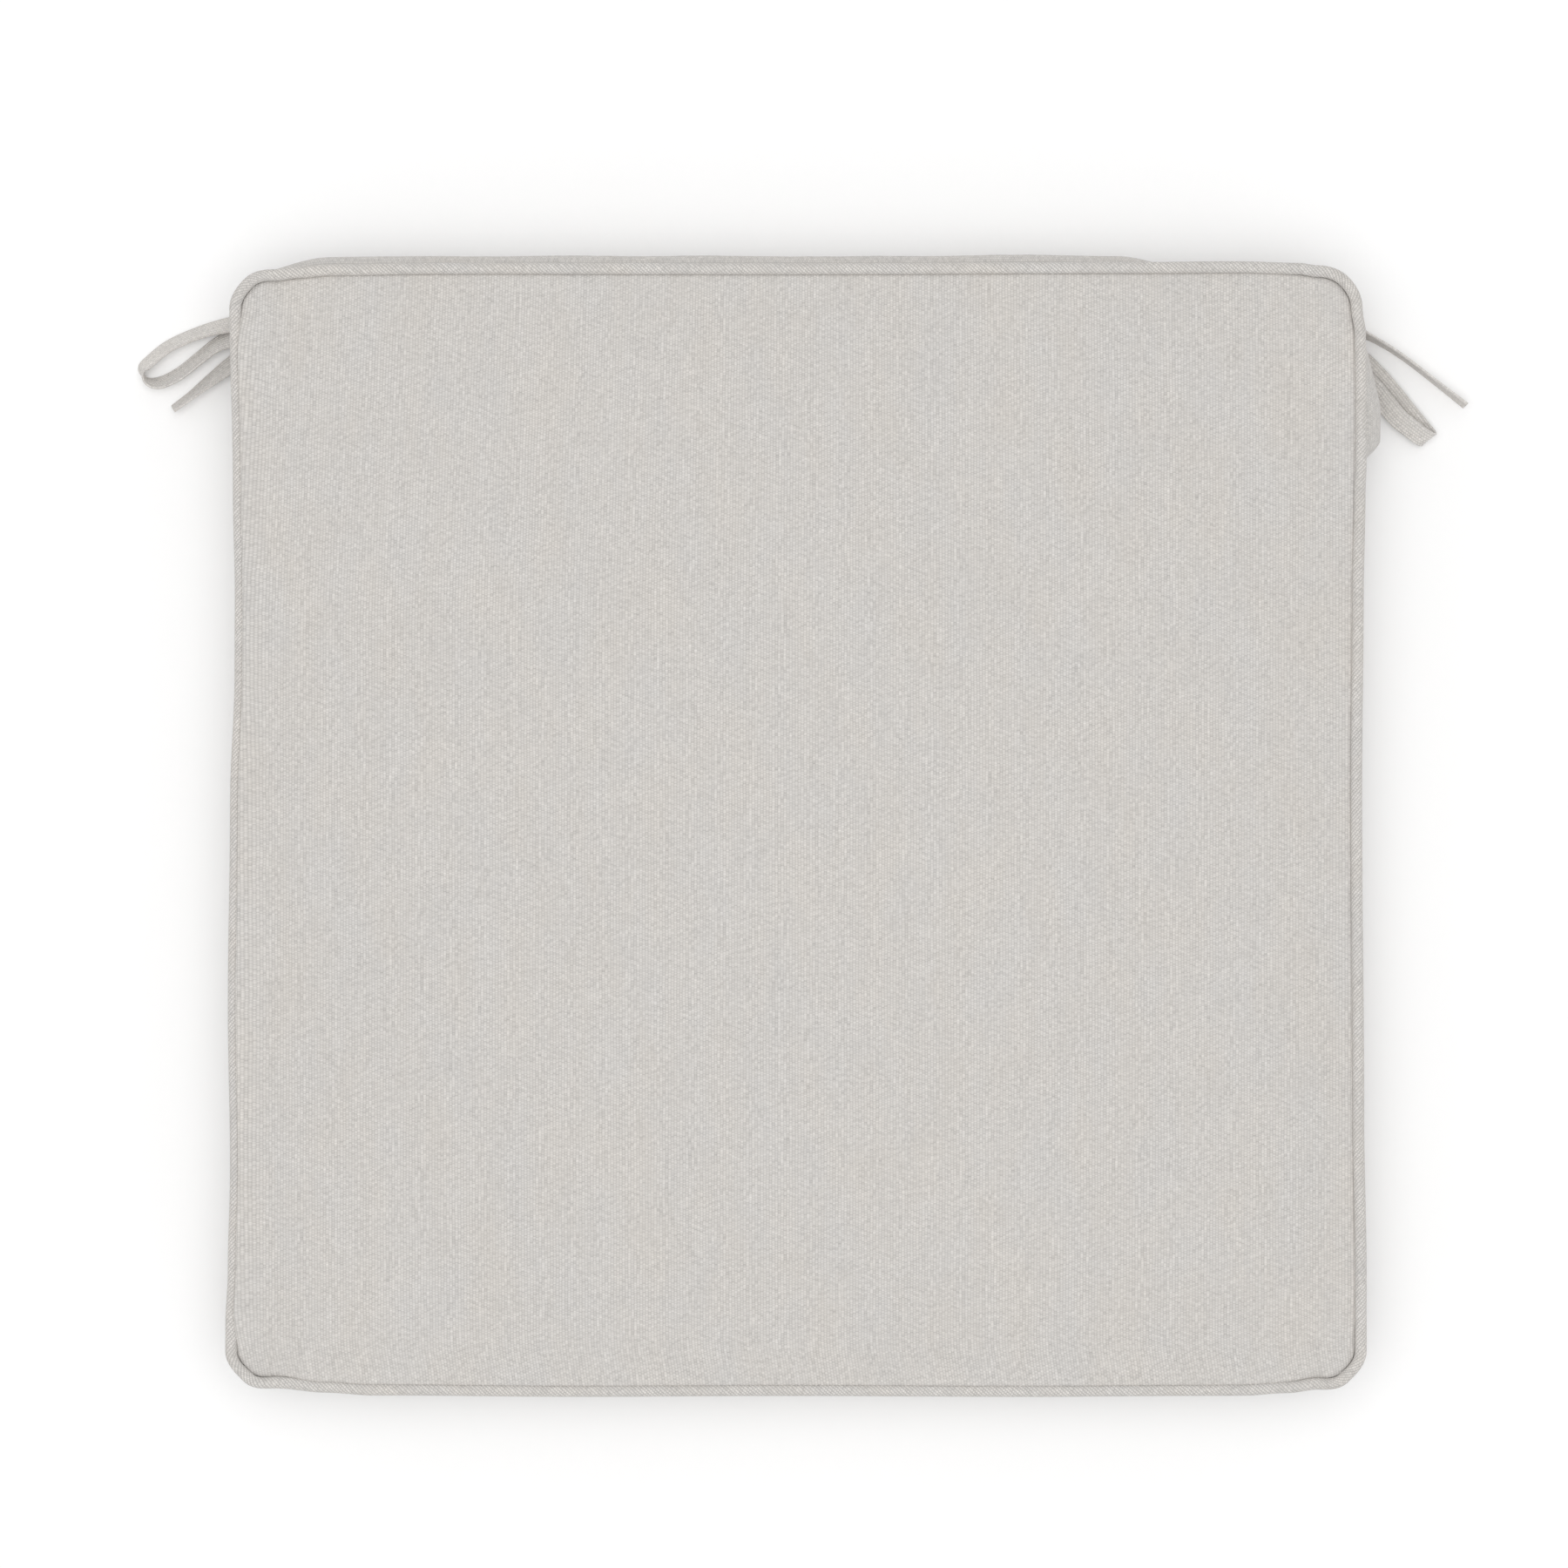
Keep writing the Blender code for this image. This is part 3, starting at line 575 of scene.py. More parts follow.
def detail_side(piece, sizes, top, bottom, middle):
    """Gathers below the piping, the puffed strips beside the zip and the tuck at the right side seam."""
    radius = sizes.piping / 2
    for vert in piece.data.vertices:
        x, y, z = vert.co
        side = side_of(x, y)
        out_axis = SIDES[side][1]
        from_seam = min(top - radius - z, z - bottom - radius)
        fade = math.exp(-max(from_seam, 0.0) / 0.006)
        settle = 1 - math.exp(-max(from_seam, 0.0) / 0.0015)
        out = sizes.pucker * 1.2 * fade * settle * gather(around(x, y), 0.009)
        out += 0.0005 * noise.noise(Vector((around(x, y) / 0.05, z / 0.02, 5.0))) * settle
        strip = abs(z - middle) - sizes.zip_gap / 2
        depth = (top - radius - middle) - sizes.zip_gap / 2
        if side == 0 and strip > 0:
            swell = math.sin(math.pi * min(1.0, strip / depth)) ** 0.8
            reach = smooth_between(-0.246, -0.214, x) * (1 - smooth_between(0.146, 0.172, x))
            amount = sizes.rear_puff if z > middle else sizes.rear_puff * 0.6
            wander = 1 + 0.12 * noise.noise(Vector((x / 0.06, 2.0, 0)))
            out += amount * swell * reach * wander
            out += 0.0012 * swell * (1 - reach)
        if side == 1:
            share = (top - radius - z) / (top - bottom - 2 * radius)
            swell = math.sin(math.pi * min(1.0, max(0.0, share))) ** 0.7
            rise = min(1.0, max(0.0, (0.231 - y) / 0.040))
            fall = min(1.0, max(0.0, (y - 0.1645) / 0.0100))
            reach = rise * fall
            out += sizes.tuck_puff * swell * reach
        vert.co.x += out_axis.x * out
        vert.co.y += out_axis.y * out


def fold_zip_edge(piece, sizes, middle, way):
    """Turns the cloth under along the zip."""
    bm = bmesh.new()
    bm.from_mesh(piece.data)
    edge_height = middle + way * sizes.zip_gap / 2
    opening = COIL_BOX[1][0] + 0.012
    lip = [
        edge
        for edge in bm.edges
        if edge.is_boundary
        and all(abs(v.co.z - edge_height) < 0.0004 and abs(v.co.x) < opening and v.co.y > 0.2 for v in edge.verts)
    ]
    if not lip:
        raise RuntimeError("no zip edge found on " + piece.name)
    made = bmesh.ops.extrude_edge_only(bm, edges=lip)["geom"]
    verts = [item for item in made if isinstance(item, bmesh.types.BMVert)]
    bmesh.ops.translate(bm, vec=(0, -0.0009, -way * 0.0001), verts=verts)
    turned = [item for item in made if isinstance(item, bmesh.types.BMEdge) and item.is_boundary]
    turned = [edge for edge in turned if all(vert in verts for vert in edge.verts)]
    made = bmesh.ops.extrude_edge_only(bm, edges=turned)["geom"]
    verts = [item for item in made if isinstance(item, bmesh.types.BMVert)]
    bmesh.ops.translate(bm, vec=(0, -0.0001, way * 0.007), verts=verts)
    bm.to_mesh(piece.data)
    bm.free()
    piece.data.shade_smooth()


# Materials


def add_node(tree, kind, **values):
    node = tree.nodes.new(kind)
    for key, value in values.items():
        setattr(node, key, value)
    return node


def math_node(tree, operation, first, second=None, third=None):
    node = add_node(tree, "ShaderNodeMath", operation=operation)
    for socket, value in zip(node.inputs, (first, second, third)):
        if value is None:
            continue
        if isinstance(value, (int, float)):
            socket.default_value = value
        else:
            tree.links.new(value, socket)
    return node.outputs[0]


def noise_node(tree, vector, scale, detail=2.0, roughness=0.5, dimensions="3D"):
    node = add_node(tree, "ShaderNodeTexNoise", noise_dimensions=dimensions)
    node.inputs["Scale"].default_value = scale
    node.inputs["Detail"].default_value = detail
    node.inputs["Roughness"].default_value = roughness
    tree.links.new(vector, node.inputs["Vector"])
    return node.outputs["Fac"]


def combine(tree, x, y, z=0.0):
    node = add_node(tree, "ShaderNodeCombineXYZ")
    for socket, value in zip(node.inputs, (x, y, z)):
        if isinstance(value, (int, float)):
            socket.default_value = value
        else:
            tree.links.new(value, socket)
    return node.outputs[0]


def map_range(tree, value, low, high, to_low=0.0, to_high=1.0):
    node = add_node(tree, "ShaderNodeMapRange", clamp=True)
    tree.links.new(value, node.inputs["Value"])
    node.inputs["From Min"].default_value = low
    node.inputs["From Max"].default_value = high
    node.inputs["To Min"].default_value = to_low
    node.inputs["To Max"].default_value = to_high
    return node.outputs[0]


def tinted(tree, colour, tone_and_painted_shade):
    """A colour multiplied by a grey value."""
    grey = combine(tree, tone_and_painted_shade, tone_and_painted_shade, tone_and_painted_shade)
    node = add_node(tree, "ShaderNodeMix", data_type="RGBA", blend_type="MULTIPLY")
    node.inputs["Factor"].default_value = 1.0
    tree.links.new(colour, node.inputs["A"])
    tree.links.new(grey, node.inputs["B"])
    return node.outputs["Result"]


def mixed(tree, factor, first, second):
    node = add_node(tree, "ShaderNodeMix", data_type="RGBA")
    tree.links.new(factor, node.inputs["Factor"])
    for socket, value in ((node.inputs["A"], first), (node.inputs["B"], second)):
        if isinstance(value, tuple):
            socket.default_value = (*value, 1.0)
        else:
            tree.links.new(value, socket)
    return node.outputs["Result"]


def new_group(name, inputs, outputs):
    group = bpy.data.node_groups.new(name, "ShaderNodeTree")
    for label, kind, default in inputs:
        socket = group.interface.new_socket(name=label, in_out="INPUT", socket_type=kind)
        if default is not None:
            socket.default_value = default
    for label, kind in outputs:
        group.interface.new_socket(name=label, in_out="OUTPUT", socket_type=kind)
    start = group.nodes.new("NodeGroupInput")
    end = group.nodes.new("NodeGroupOutput")
    return group, start, end


def ribbed_weave():
    """Upright ribs crossed by staggered beads, with slubs, faint streaks and warm and cool patches. The colour also
    carries painted shade in the grooves between the ribs and a painted highlight on the bead crests.
    """
    name = "ribbed weave"
    if name in bpy.data.node_groups:
        return bpy.data.node_groups[name]
    group, start, end = new_group(
        name,
        (
            ("Vector", "NodeSocketVector", None),
            ("Cool", "NodeSocketColor", (0.6, 0.58, 0.56, 1)),
            ("Warm", "NodeSocketColor", (0.62, 0.59, 0.55, 1)),
            ("Rib", "NodeSocketFloat", 0.00129),
            ("Bead", "NodeSocketFloat", 0.0011),
            ("Contrast", "NodeSocketFloat", 0.12),
        ),
        (("Color", "NodeSocketColor"), ("Height", "NodeSocketFloat"), ("Roughness", "NodeSocketFloat")),
    )
    vector = start.outputs["Vector"]
    split = add_node(group, "ShaderNodeSeparateXYZ")
    group.links.new(vector, split.inputs[0])
    wander = noise_node(group, vector, 90.0, 2.0)
    across = math_node(group, "DIVIDE", split.outputs["X"], start.outputs["Rib"])
    across = math_node(group, "ADD", across, math_node(group, "MULTIPLY", wander, 0.5))
    rib_number = math_node(group, "FLOOR", across)
    stagger = math_node(group, "MULTIPLY", rib_number, 0.5)
    along = math_node(group, "DIVIDE", split.outputs["Y"], start.outputs["Bead"])
    along = math_node(group, "ADD", along, stagger)
    along = math_node(group, "ADD", along, math_node(group, "MULTIPLY", wander, 1.2))
    turn = 2 * math.pi
    rib_wave = math_node(group, "COSINE", math_node(group, "MULTIPLY", across, turn))
    rib = math_node(group, "MULTIPLY_ADD", rib_wave, -0.5, 0.5)
    bead_wave = math_node(group, "COSINE", math_node(group, "MULTIPLY", along, turn))
    bead = math_node(group, "MULTIPLY_ADD", bead_wave, 0.5, 0.5)
    stretched = combine(group, split.outputs["X"], math_node(group, "MULTIPLY", split.outputs["Y"], 0.45))
    patch = map_range(group, noise_node(group, stretched, 70.0, 3.0, 0.6), 0.42, 0.58, 0.25, 1.0)
    beaded = math_node(group, "MULTIPLY", bead, patch)
    fibre = noise_node(group, vector, 2600.0, 2.0, 0.6)
    yarn = noise_node(group, combine(group, rib_number, math_node(group, "MULTIPLY", along, 0.09)), 1.0, 2.0)
    height = math_node(group, "MULTIPLY", rib, math_node(group, "MULTIPLY_ADD", beaded, 0.5, 0.5))
    height = math_node(group, "ADD", height, math_node(group, "MULTIPLY", fibre, 0.18))
    height = math_node(group, "ADD", height, math_node(group, "MULTIPLY", yarn, 0.25))
    group.links.new(height, end.inputs["Height"])
    # Painted shade: the colour darkens where the weave's height is low, in the grooves between the ribs.
    level = math_node(group, "SUBTRACT", height, 0.58)
    tone_and_painted_shade = math_node(group, "MULTIPLY_ADD", level, start.outputs["Contrast"], 1.0)
    own_rib = math_node(group, "MULTIPLY", rib_number, 1.37)
    for length, amount in ((1.0, 0.54), (0.15, 0.18)):
        dashes = combine(group, own_rib, math_node(group, "MULTIPLY", along, length))
        dashes = noise_node(group, dashes, 0.8, 1.0)
        tone_and_painted_shade = math_node(group, "ADD", tone_and_painted_shade, math_node(group, "MULTIPLY_ADD", dashes, amount, -amount / 2))
    # Painted highlight: the bead crests are coloured lighter and the hollows between the beads darker.
    tone_and_painted_shade = math_node(group, "ADD", tone_and_painted_shade, math_node(group, "MULTIPLY_ADD", bead, 0.09, -0.045))
    streak = noise_node(group, combine(group, rib_number, math_node(group, "MULTIPLY", along, 0.02), 7.0), 0.9, 2.0)
    tone_and_painted_shade = math_node(group, "ADD", tone_and_painted_shade, math_node(group, "MULTIPLY_ADD", streak, 0.05, -0.025))
    broad = noise_node(group, vector, 14.0, 2.0)
    tone_and_painted_shade = math_node(group, "ADD", tone_and_painted_shade, math_node(group, "MULTIPLY_ADD", broad, 0.03, -0.015))
    tint = map_range(group, noise_node(group, stretched, 38.0, 3.0, 0.6), 0.35, 0.65)
    tone = mixed(group, tint, start.outputs["Cool"], start.outputs["Warm"])
    group.links.new(tinted(group, tone, tone_and_painted_shade), end.inputs["Color"])
    rough = map_range(group, height, 0.1, 1.2, 0.93, 0.84)
    group.links.new(rough, end.inputs["Roughness"])
    return group


def flecked():
    """Fine grain for foam, fibre, cord, tape, nylon and metal: noise of one size with a second one over it."""
    name = "fine grain"
    if name in bpy.data.node_groups:
        return bpy.data.node_groups[name]
    group, start, end = new_group(
        name,
        (
            ("Vector", "NodeSocketVector", None),
            ("Dark", "NodeSocketColor", (0.5, 0.5, 0.5, 1)),
            ("Light", "NodeSocketColor", (0.7, 0.7, 0.7, 1)),
            ("Scale", "NodeSocketFloat", 800.0),
            ("Rough Low", "NodeSocketFloat", 0.5),
            ("Rough High", "NodeSocketFloat", 0.7),
        ),
        (("Color", "NodeSocketColor"), ("Height", "NodeSocketFloat"), ("Roughness", "NodeSocketFloat")),
    )
    fine = add_node(group, "ShaderNodeTexNoise")
    fine.inputs["Detail"].default_value = 4.0
    group.links.new(start.outputs["Vector"], fine.inputs["Vector"])
    group.links.new(start.outputs["Scale"], fine.inputs["Scale"])
    share = map_range(group, fine.outputs["Fac"], 0.3, 0.7)
    group.links.new(mixed(group, share, start.outputs["Dark"], start.outputs["Light"]), end.inputs["Color"])
    group.links.new(share, end.inputs["Height"])
    spread = math_node(group, "SUBTRACT", start.outputs["Rough High"], start.outputs["Rough Low"])
    rough = math_node(group, "MULTIPLY_ADD", share, spread, start.outputs["Rough Low"])
    group.links.new(rough, end.inputs["Roughness"])
    return group


def base_material(name):
    material = bpy.data.materials.new(name)
    material.use_nodes = True
    return material, material.node_tree, material.node_tree.nodes["Principled BSDF"]


def attach(tree, shader, node, bump_distance, bump_strength):
    tree.links.new(node.outputs["Color"], shader.inputs["Base Color"])
    tree.links.new(node.outputs["Roughness"], shader.inputs["Roughness"])
    bump = add_node(tree, "ShaderNodeBump")
    bump.inputs["Distance"].default_value = bump_distance
    bump.inputs["Strength"].default_value = bump_strength
    tree.links.new(node.outputs["Height"], bump.inputs["Height"])
    tree.links.new(bump.outputs["Normal"], shader.inputs["Normal"])


def canvas_material(name, looks, turn=0.0, painted_light_factor=1.0, groove_shade_depth=0.24):
    """Ribbed canvas that follows the piece's own weave directions."""
    if name in bpy.data.materials:
        return bpy.data.materials[name]
    material, tree, shader = base_material(name)
    uv_map = add_node(tree, "ShaderNodeUVMap", uv_map=CLOTH_UV)
    mapping = add_node(tree, "ShaderNodeMapping")
    mapping.inputs["Rotation"].default_value = (0, 0, turn)
    tree.links.new(uv_map.outputs["UV"], mapping.inputs["Vector"])
    weave = add_node(tree, "ShaderNodeGroup", node_tree=ribbed_weave())
    tree.links.new(mapping.outputs["Vector"], weave.inputs["Vector"])
    # A factor above 1 paints the canvas lighter, as painted light.
    red, green, blue = (channel * painted_light_factor for channel in looks.canvas)
    weave.inputs["Cool"].default_value = (red * 0.993, green, blue * 1.01, 1)
    weave.inputs["Warm"].default_value = (red * 1.007, green, blue * 0.99, 1)
    weave.inputs["Rib"].default_value = looks.rib
    weave.inputs["Bead"].default_value = looks.bead
    # Sets how strongly the weave's colour is painted darker in its grooves.
    weave.inputs["Contrast"].default_value = groove_shade_depth
    attach(tree, shader, weave, 0.00022, 0.7)
    shader.inputs["Specular IOR Level"].default_value = 0.25
    shader.inputs["Sheen Weight"].default_value = 0.12
    shader.inputs["Sheen Roughness"].default_value = 0.6
    return material


def grain_material(name, dark, light, scale, rough, bump, stretch=(1, 1, 1), metallic=0.0):
    if name in bpy.data.materials:
        return bpy.data.materials[name]
    material, tree, shader = base_material(name)
    coordinates = add_node(tree, "ShaderNodeTexCoord")
    mapping = add_node(tree, "ShaderNodeMapping")
    mapping.inputs["Scale"].default_value = stretch
    tree.links.new(coordinates.outputs["Object"], mapping.inputs["Vector"])
    grain = add_node(tree, "ShaderNodeGroup", node_tree=flecked())
    tree.links.new(mapping.outputs["Vector"], grain.inputs["Vector"])
    grain.inputs["Dark"].default_value = (*dark, 1)
    grain.inputs["Light"].default_value = (*light, 1)
    grain.inputs["Scale"].default_value = scale
    grain.inputs["Rough Low"].default_value = rough[0]
    grain.inputs["Rough High"].default_value = rough[1]
    attach(tree, shader, grain, bump, 0.6)
    shader.inputs["Metallic"].default_value = metallic
    return material


def dress(node, material):
    """Gives a CAD node's own object a material."""
    piece = frame["nodes"][node]
    if not piece.material_slots:
        piece.data.materials.append(material)
    for slot in piece.material_slots:
        slot.material = material


# Operators


class SeatPadOperator(bpy.types.Operator):
    """Shared reading of the settings."""

    bl_idname = "seat_pad.base"
    bl_label = "Seat Pad Piece"

    @property
    def sizes(self):
        return bpy.context.scene.seat_pad_sizes

    @property
    def looks(self):
        return bpy.context.scene.seat_pad_looks


class SEATPAD_OT_cover(SeatPadOperator):
    """Builds the filled cover and cuts it into its panels"""

    bl_idname = "seat_pad.cover"
    bl_label = "Cover"

    def execute(self, context):
        sizes = self.sizes
        _, top, bottom, middle = side_profile(sizes)
        bm, pinned_verts = shape_cover(sizes)
        bm.verts.index_update()
        pinned = [vert.index for vert in pinned_verts]
        cover = finish_bmesh("whole_cover", bm)
        before, moved = fill_out(cover, pinned)
        keep_in_size(cover, before, moved)
        canvas = canvas_material("ribbed canvas", self.looks)
        for name, number in PANELS.items():
            piece = panel_from(cover, name, number)
            piece.data.materials.clear()
            piece.data.materials.append(canvas)
            if number == 1:
                detail_face(piece, sizes, 1)
            elif number == 2:
                detail_face(piece, sizes, -1)
            else:
                detail_side(piece, sizes, top, bottom, middle)
            if number == 4:
                fold_zip_edge(piece, sizes, middle, 1)
            if number == 5:
                fold_zip_edge(piece, sizes, middle, -1)
            add_wall(piece, sizes.canvas)
            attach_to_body(piece, "pad")
        bpy.data.objects.remove(cover, do_unlink=True)
        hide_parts("top_panel")
        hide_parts("bottom_panel")
        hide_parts("boxing_band")
        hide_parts("zipper_band_upper")
        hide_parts("zipper_band_lower")
        return {"FINISHED"}


class SEATPAD_OT_piping(SeatPadOperator):
    """Builds the bias-cut piping round the top and bottom seams"""

    bl_idname = "seat_pad.piping"
    bl_label = "Piping"

    def execute(self, context):
        sizes = self.sizes
        radius = sizes.piping / 2
        # The piping's canvas carries twice the painted groove shade of the panels.
        cloth = canvas_material("piping canvas", self.looks, math.radians(45), 1.0, 0.48)
        heights = {
            "piping_top": (TOP_PIPING[1][2] - radius, "top_welt_cover"),
            "piping_bottom": (BOTTOM_PIPING[0][2] + radius, "bottom_welt_cover"),
        }
        for name, (height, node) in heights.items():
            piece = self.make_piping(name, height, sizes, cloth, sizes.piping / 2)
            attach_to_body(piece, "pad")
            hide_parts(node)
        cotton = grain_material("piping cord", (0.70, 0.68, 0.63), (0.86, 0.84, 0.80), 900, (0.85, 0.95), 0.0002)
        for name, source, node in (
            ("cord_top", "piping_top", "top_welt_cord"),
            ("cord_bottom", "piping_bottom", "bottom_welt_cord"),
        ):
            piece = self.make_piping(name, heights[source][0], sizes, cotton, sizes.piping / 2 - 1.6 * sizes.canvas)
            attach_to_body(piece, "pad")
            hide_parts(node)
        return {"FINISHED"}

    def make_piping(self, name, height, sizes, cloth, thick):
        radius = sizes.piping / 2
        half = HALF - radius
        steps = 200
        corners = 14
        rings = []
        along = []
        corner = sizes.corner - radius
        side_length = 2 * (half - corner) + corner * math.pi / 2
        top = height > HALF / 10
        join = 2.5 * side_length + 0.187 if top else 0.6 * side_length
        for side in range(4):
            along_axis, out_axis = SIDES[side]
            for step in range(steps):
                share = 2 * step / steps - 1
                square = along_axis * share + out_axis
                point, outward, distance = outline(square, half, corner)
                wander = noise.noise(Vector((distance / 0.05, height * 50, 0)))
                lift = 0.00025 * noise.noise(Vector((distance / 0.035, 4.0, height * 40)))
                if top:
                    lift -= 0.4 * rolled_over(side, point.dot(along_axis))
                from_join = distance - join
                lap = math.exp(-((from_join / 0.004) ** 2))
                ring = []
                for number in range(corners):
                    angle = 2 * math.pi * number / corners
                    slant = math.exp(-(((from_join - 0.002 * math.sin(angle)) / 0.0016) ** 2))
                    size = thick * (1 + 0.035 * wander) + 0.00022 * lap - 0.00022 * slant
                    reach = outward * math.cos(angle) * size
                    ring.append((point.x + reach.x, point.y + reach.y, height + lift + math.sin(angle) * size))
                rings.append(ring)
                along.append(distance)
        along.append(along[0] + 4 * side_length)
        around_ring = [radius * 2 * math.pi * number / corners for number in range(corners + 1)]
        bm = bmesh.new()
        sweep_rings(bm, rings, True, along, around_ring)
        return finish_bmesh(name, bm, cloth)


# Each tie's course: past the pad's side, behind its rear edge and lift off what it lies on, in millimetres,
# then the heading of the tape's width (0 is +X, 90 is +Y) and how far it leans up, in degrees.

LEFT_LOOP = (
    (-32.0, -8.2, 5.0, 0, 0),
    (-31.0, -12.5, 3.9, -14, 0),
    (-26.5, -17.5, 1.8, -42, 0),
    (-19.0, -20.6, 0.4, -64, 0),
    (-10.0, -21.8, 0.0, -74, 3),
    (-2.0, -22.0, 0.0, -74, 14),
    (6.4, -22.8, 0.0, -70, 38),
    (20.0, -26.5, 0.0, -64, 50),
    (33.2, -32.3, 0.0, -60, 52),
    (41.3, -38.5, 0.0, -60, 52),
    (45.8, -43.4, 0.0, -60, 52),
    (43.6, -48.2, 0.0, -60, 52),
    (38.0, -49.4, 0.0, -60, 52),
    (29.2, -45.5, 0.0, -57, 50),
    (20.0, -38.3, 0.0, -53, 50),
    (12.9, -32.7, 0.3, -53, 46),
    (6.4, -29.6, 1.2, -58, 30),
    (0.0, -28.4, 1.9, -66, 8),
    (-8.0, -27.6, 1.9, -80, 0),
)
LEFT_TAIL = (
    (-68.0, -8.2, 4.8, 0, 0),
    (-71.0, -18.0, 1.4, 16, 0),
    (-74.5, -31.0, 0.3, 2, 0),
    (-70.5, -42.0, 0.0, -38, 0),
    (-60.0, -46.5, 0.0, -82, 0),
    (-48.0, -43.5, 0.0, -114, 0),
    (-36.0, -37.0, 0.0, -116, 0),
    (-24.0, -32.6, 0.0, -100, 0),
    (-12.0, -32.6, 0.0, -82, 0),
    (-3.0, -36.0, 0.0, -66, 8),
    (6.4, -42.0, 0.0, -56, 34),
    (15.3, -48.8, 0.0, -52, 52),
    (23.3, -55.1, 0.0, -52, 64),
    (31.7, -61.4, 0.0, -52, 67),
)
RIGHT_TAIL = (
    (-82.0, -8.2, 4.4, 0, 0),
    (-79.5, -13.0, 2.0, 20, 0),
    (-68.0, -18.0, 0.0, 70, 0),
    (-52.0, -19.0, 0.0, 90, 0),
    (-38.0, -18.4, 0.0, 88, 0),
    (-24.0, -17.8, 0.0, 86, 0),
    (-11.0, -18.6, 0.0, 78, 0),
    (-5.0, -20.4, 0.0, 70, 2),
    (0.0, -22.9, 0.0, 60, 12),
    (3.2, -24.8, 0.0, 57, 50),
    (6.4, -26.7, 0.0, 56, 78),
    (22.3, -35.9, 0.0, 58, 86),
    (40.7, -49.9, 0.0, 52, 86),
    (53.5, -59.9, 0.0, 52, 82),
)
RIGHT_LOOP = (
    (-32.0, -8.2, 5.0, 0, 0),
    (-29.5, -12.6, 4.2, 32, 0),
    (-22.0, -18.6, 3.0, 49, 0),
    (-12.0, -27.0, 2.0, 52, 0),
    (-3.0, -33.2, 0.5, 56, 0),
    (6.0, -39.0, 0.0, 50, 10),
    (17.2, -50.5, 0.0, 39, 25),
    (27.0, -62.6, 0.0, 39, 25),
    (33.4, -70.4, 0.2, 39, 25),
    (36.6, -74.8, 2.0, 39, 25),
    (34.2, -75.0, 4.6, 39, 25),
    (28.6, -71.0, 5.0, 39, 24),
    (22.6, -66.0, 4.4, 40, 22),
    (16.0, -58.3, 3.4, 42, 20),
    (11.6, -52.6, 2.6, 45, 13),
    (6.0, -47.6, 2.0, 52, 5),
    (-1.5, -44.0, 1.9, 62, 0),
)


def smooth_rows(rows, step):
    """Rows read from a smooth curve through the given rows, about step apart."""
    ends = [rows[0], *rows, rows[-1]]
    fine = []
    for index in range(1, len(ends) - 2):
        window = ends[index - 1 : index + 3]
        for part in range(12):
            t = part / 12
            row = []
            for a, b, c, d in zip(*window):
                bend = (c - a) * t + (2 * a - 5 * b + 4 * c - d) * t * t + (3 * b - a - 3 * c + d) * t**3
                row.append(b + bend / 2)
            fine.append(row)
    fine.append(list(rows[-1]))
    travelled = [0.0]
    for first, second in zip(fine, fine[1:]):
        travelled.append(travelled[-1] + math.dist(first[:3], second[:3]))
    count = round(travelled[-1] / step)
    spaced = []
    place = 0
    for number in range(count + 1):
        target = travelled[-1] * number / count
        while place < len(travelled) - 2 and travelled[place + 1] < target:
            place += 1
        share = (target - travelled[place]) / (travelled[place + 1] - travelled[place])
        spaced.append([a + (b - a) * share for a, b in zip(fine[place], fine[place + 1])])
    return spaced


TAPE_SECTION = (
    (-0.5, 0.2),
    (-0.48, 0.5),
    (-0.42, 0.5),
    (-0.36, 0.38),
    (-0.30, 0.46),
    (0.0, 0.5),
    (0.30, 0.46),
    (0.36, 0.38),
    (0.42, 0.5),
    (0.48, 0.5),
    (0.5, 0.2),
    (0.5, -0.2),
    (0.48, -0.5),
    (0.42, -0.5),
    (0.36, -0.38),
    (0.30, -0.46),
    (0.0, -0.5),
    (-0.30, -0.46),
    (-0.36, -0.38),
    (-0.42, -0.5),
    (-0.48, -0.5),
    (-0.5, -0.2),
)


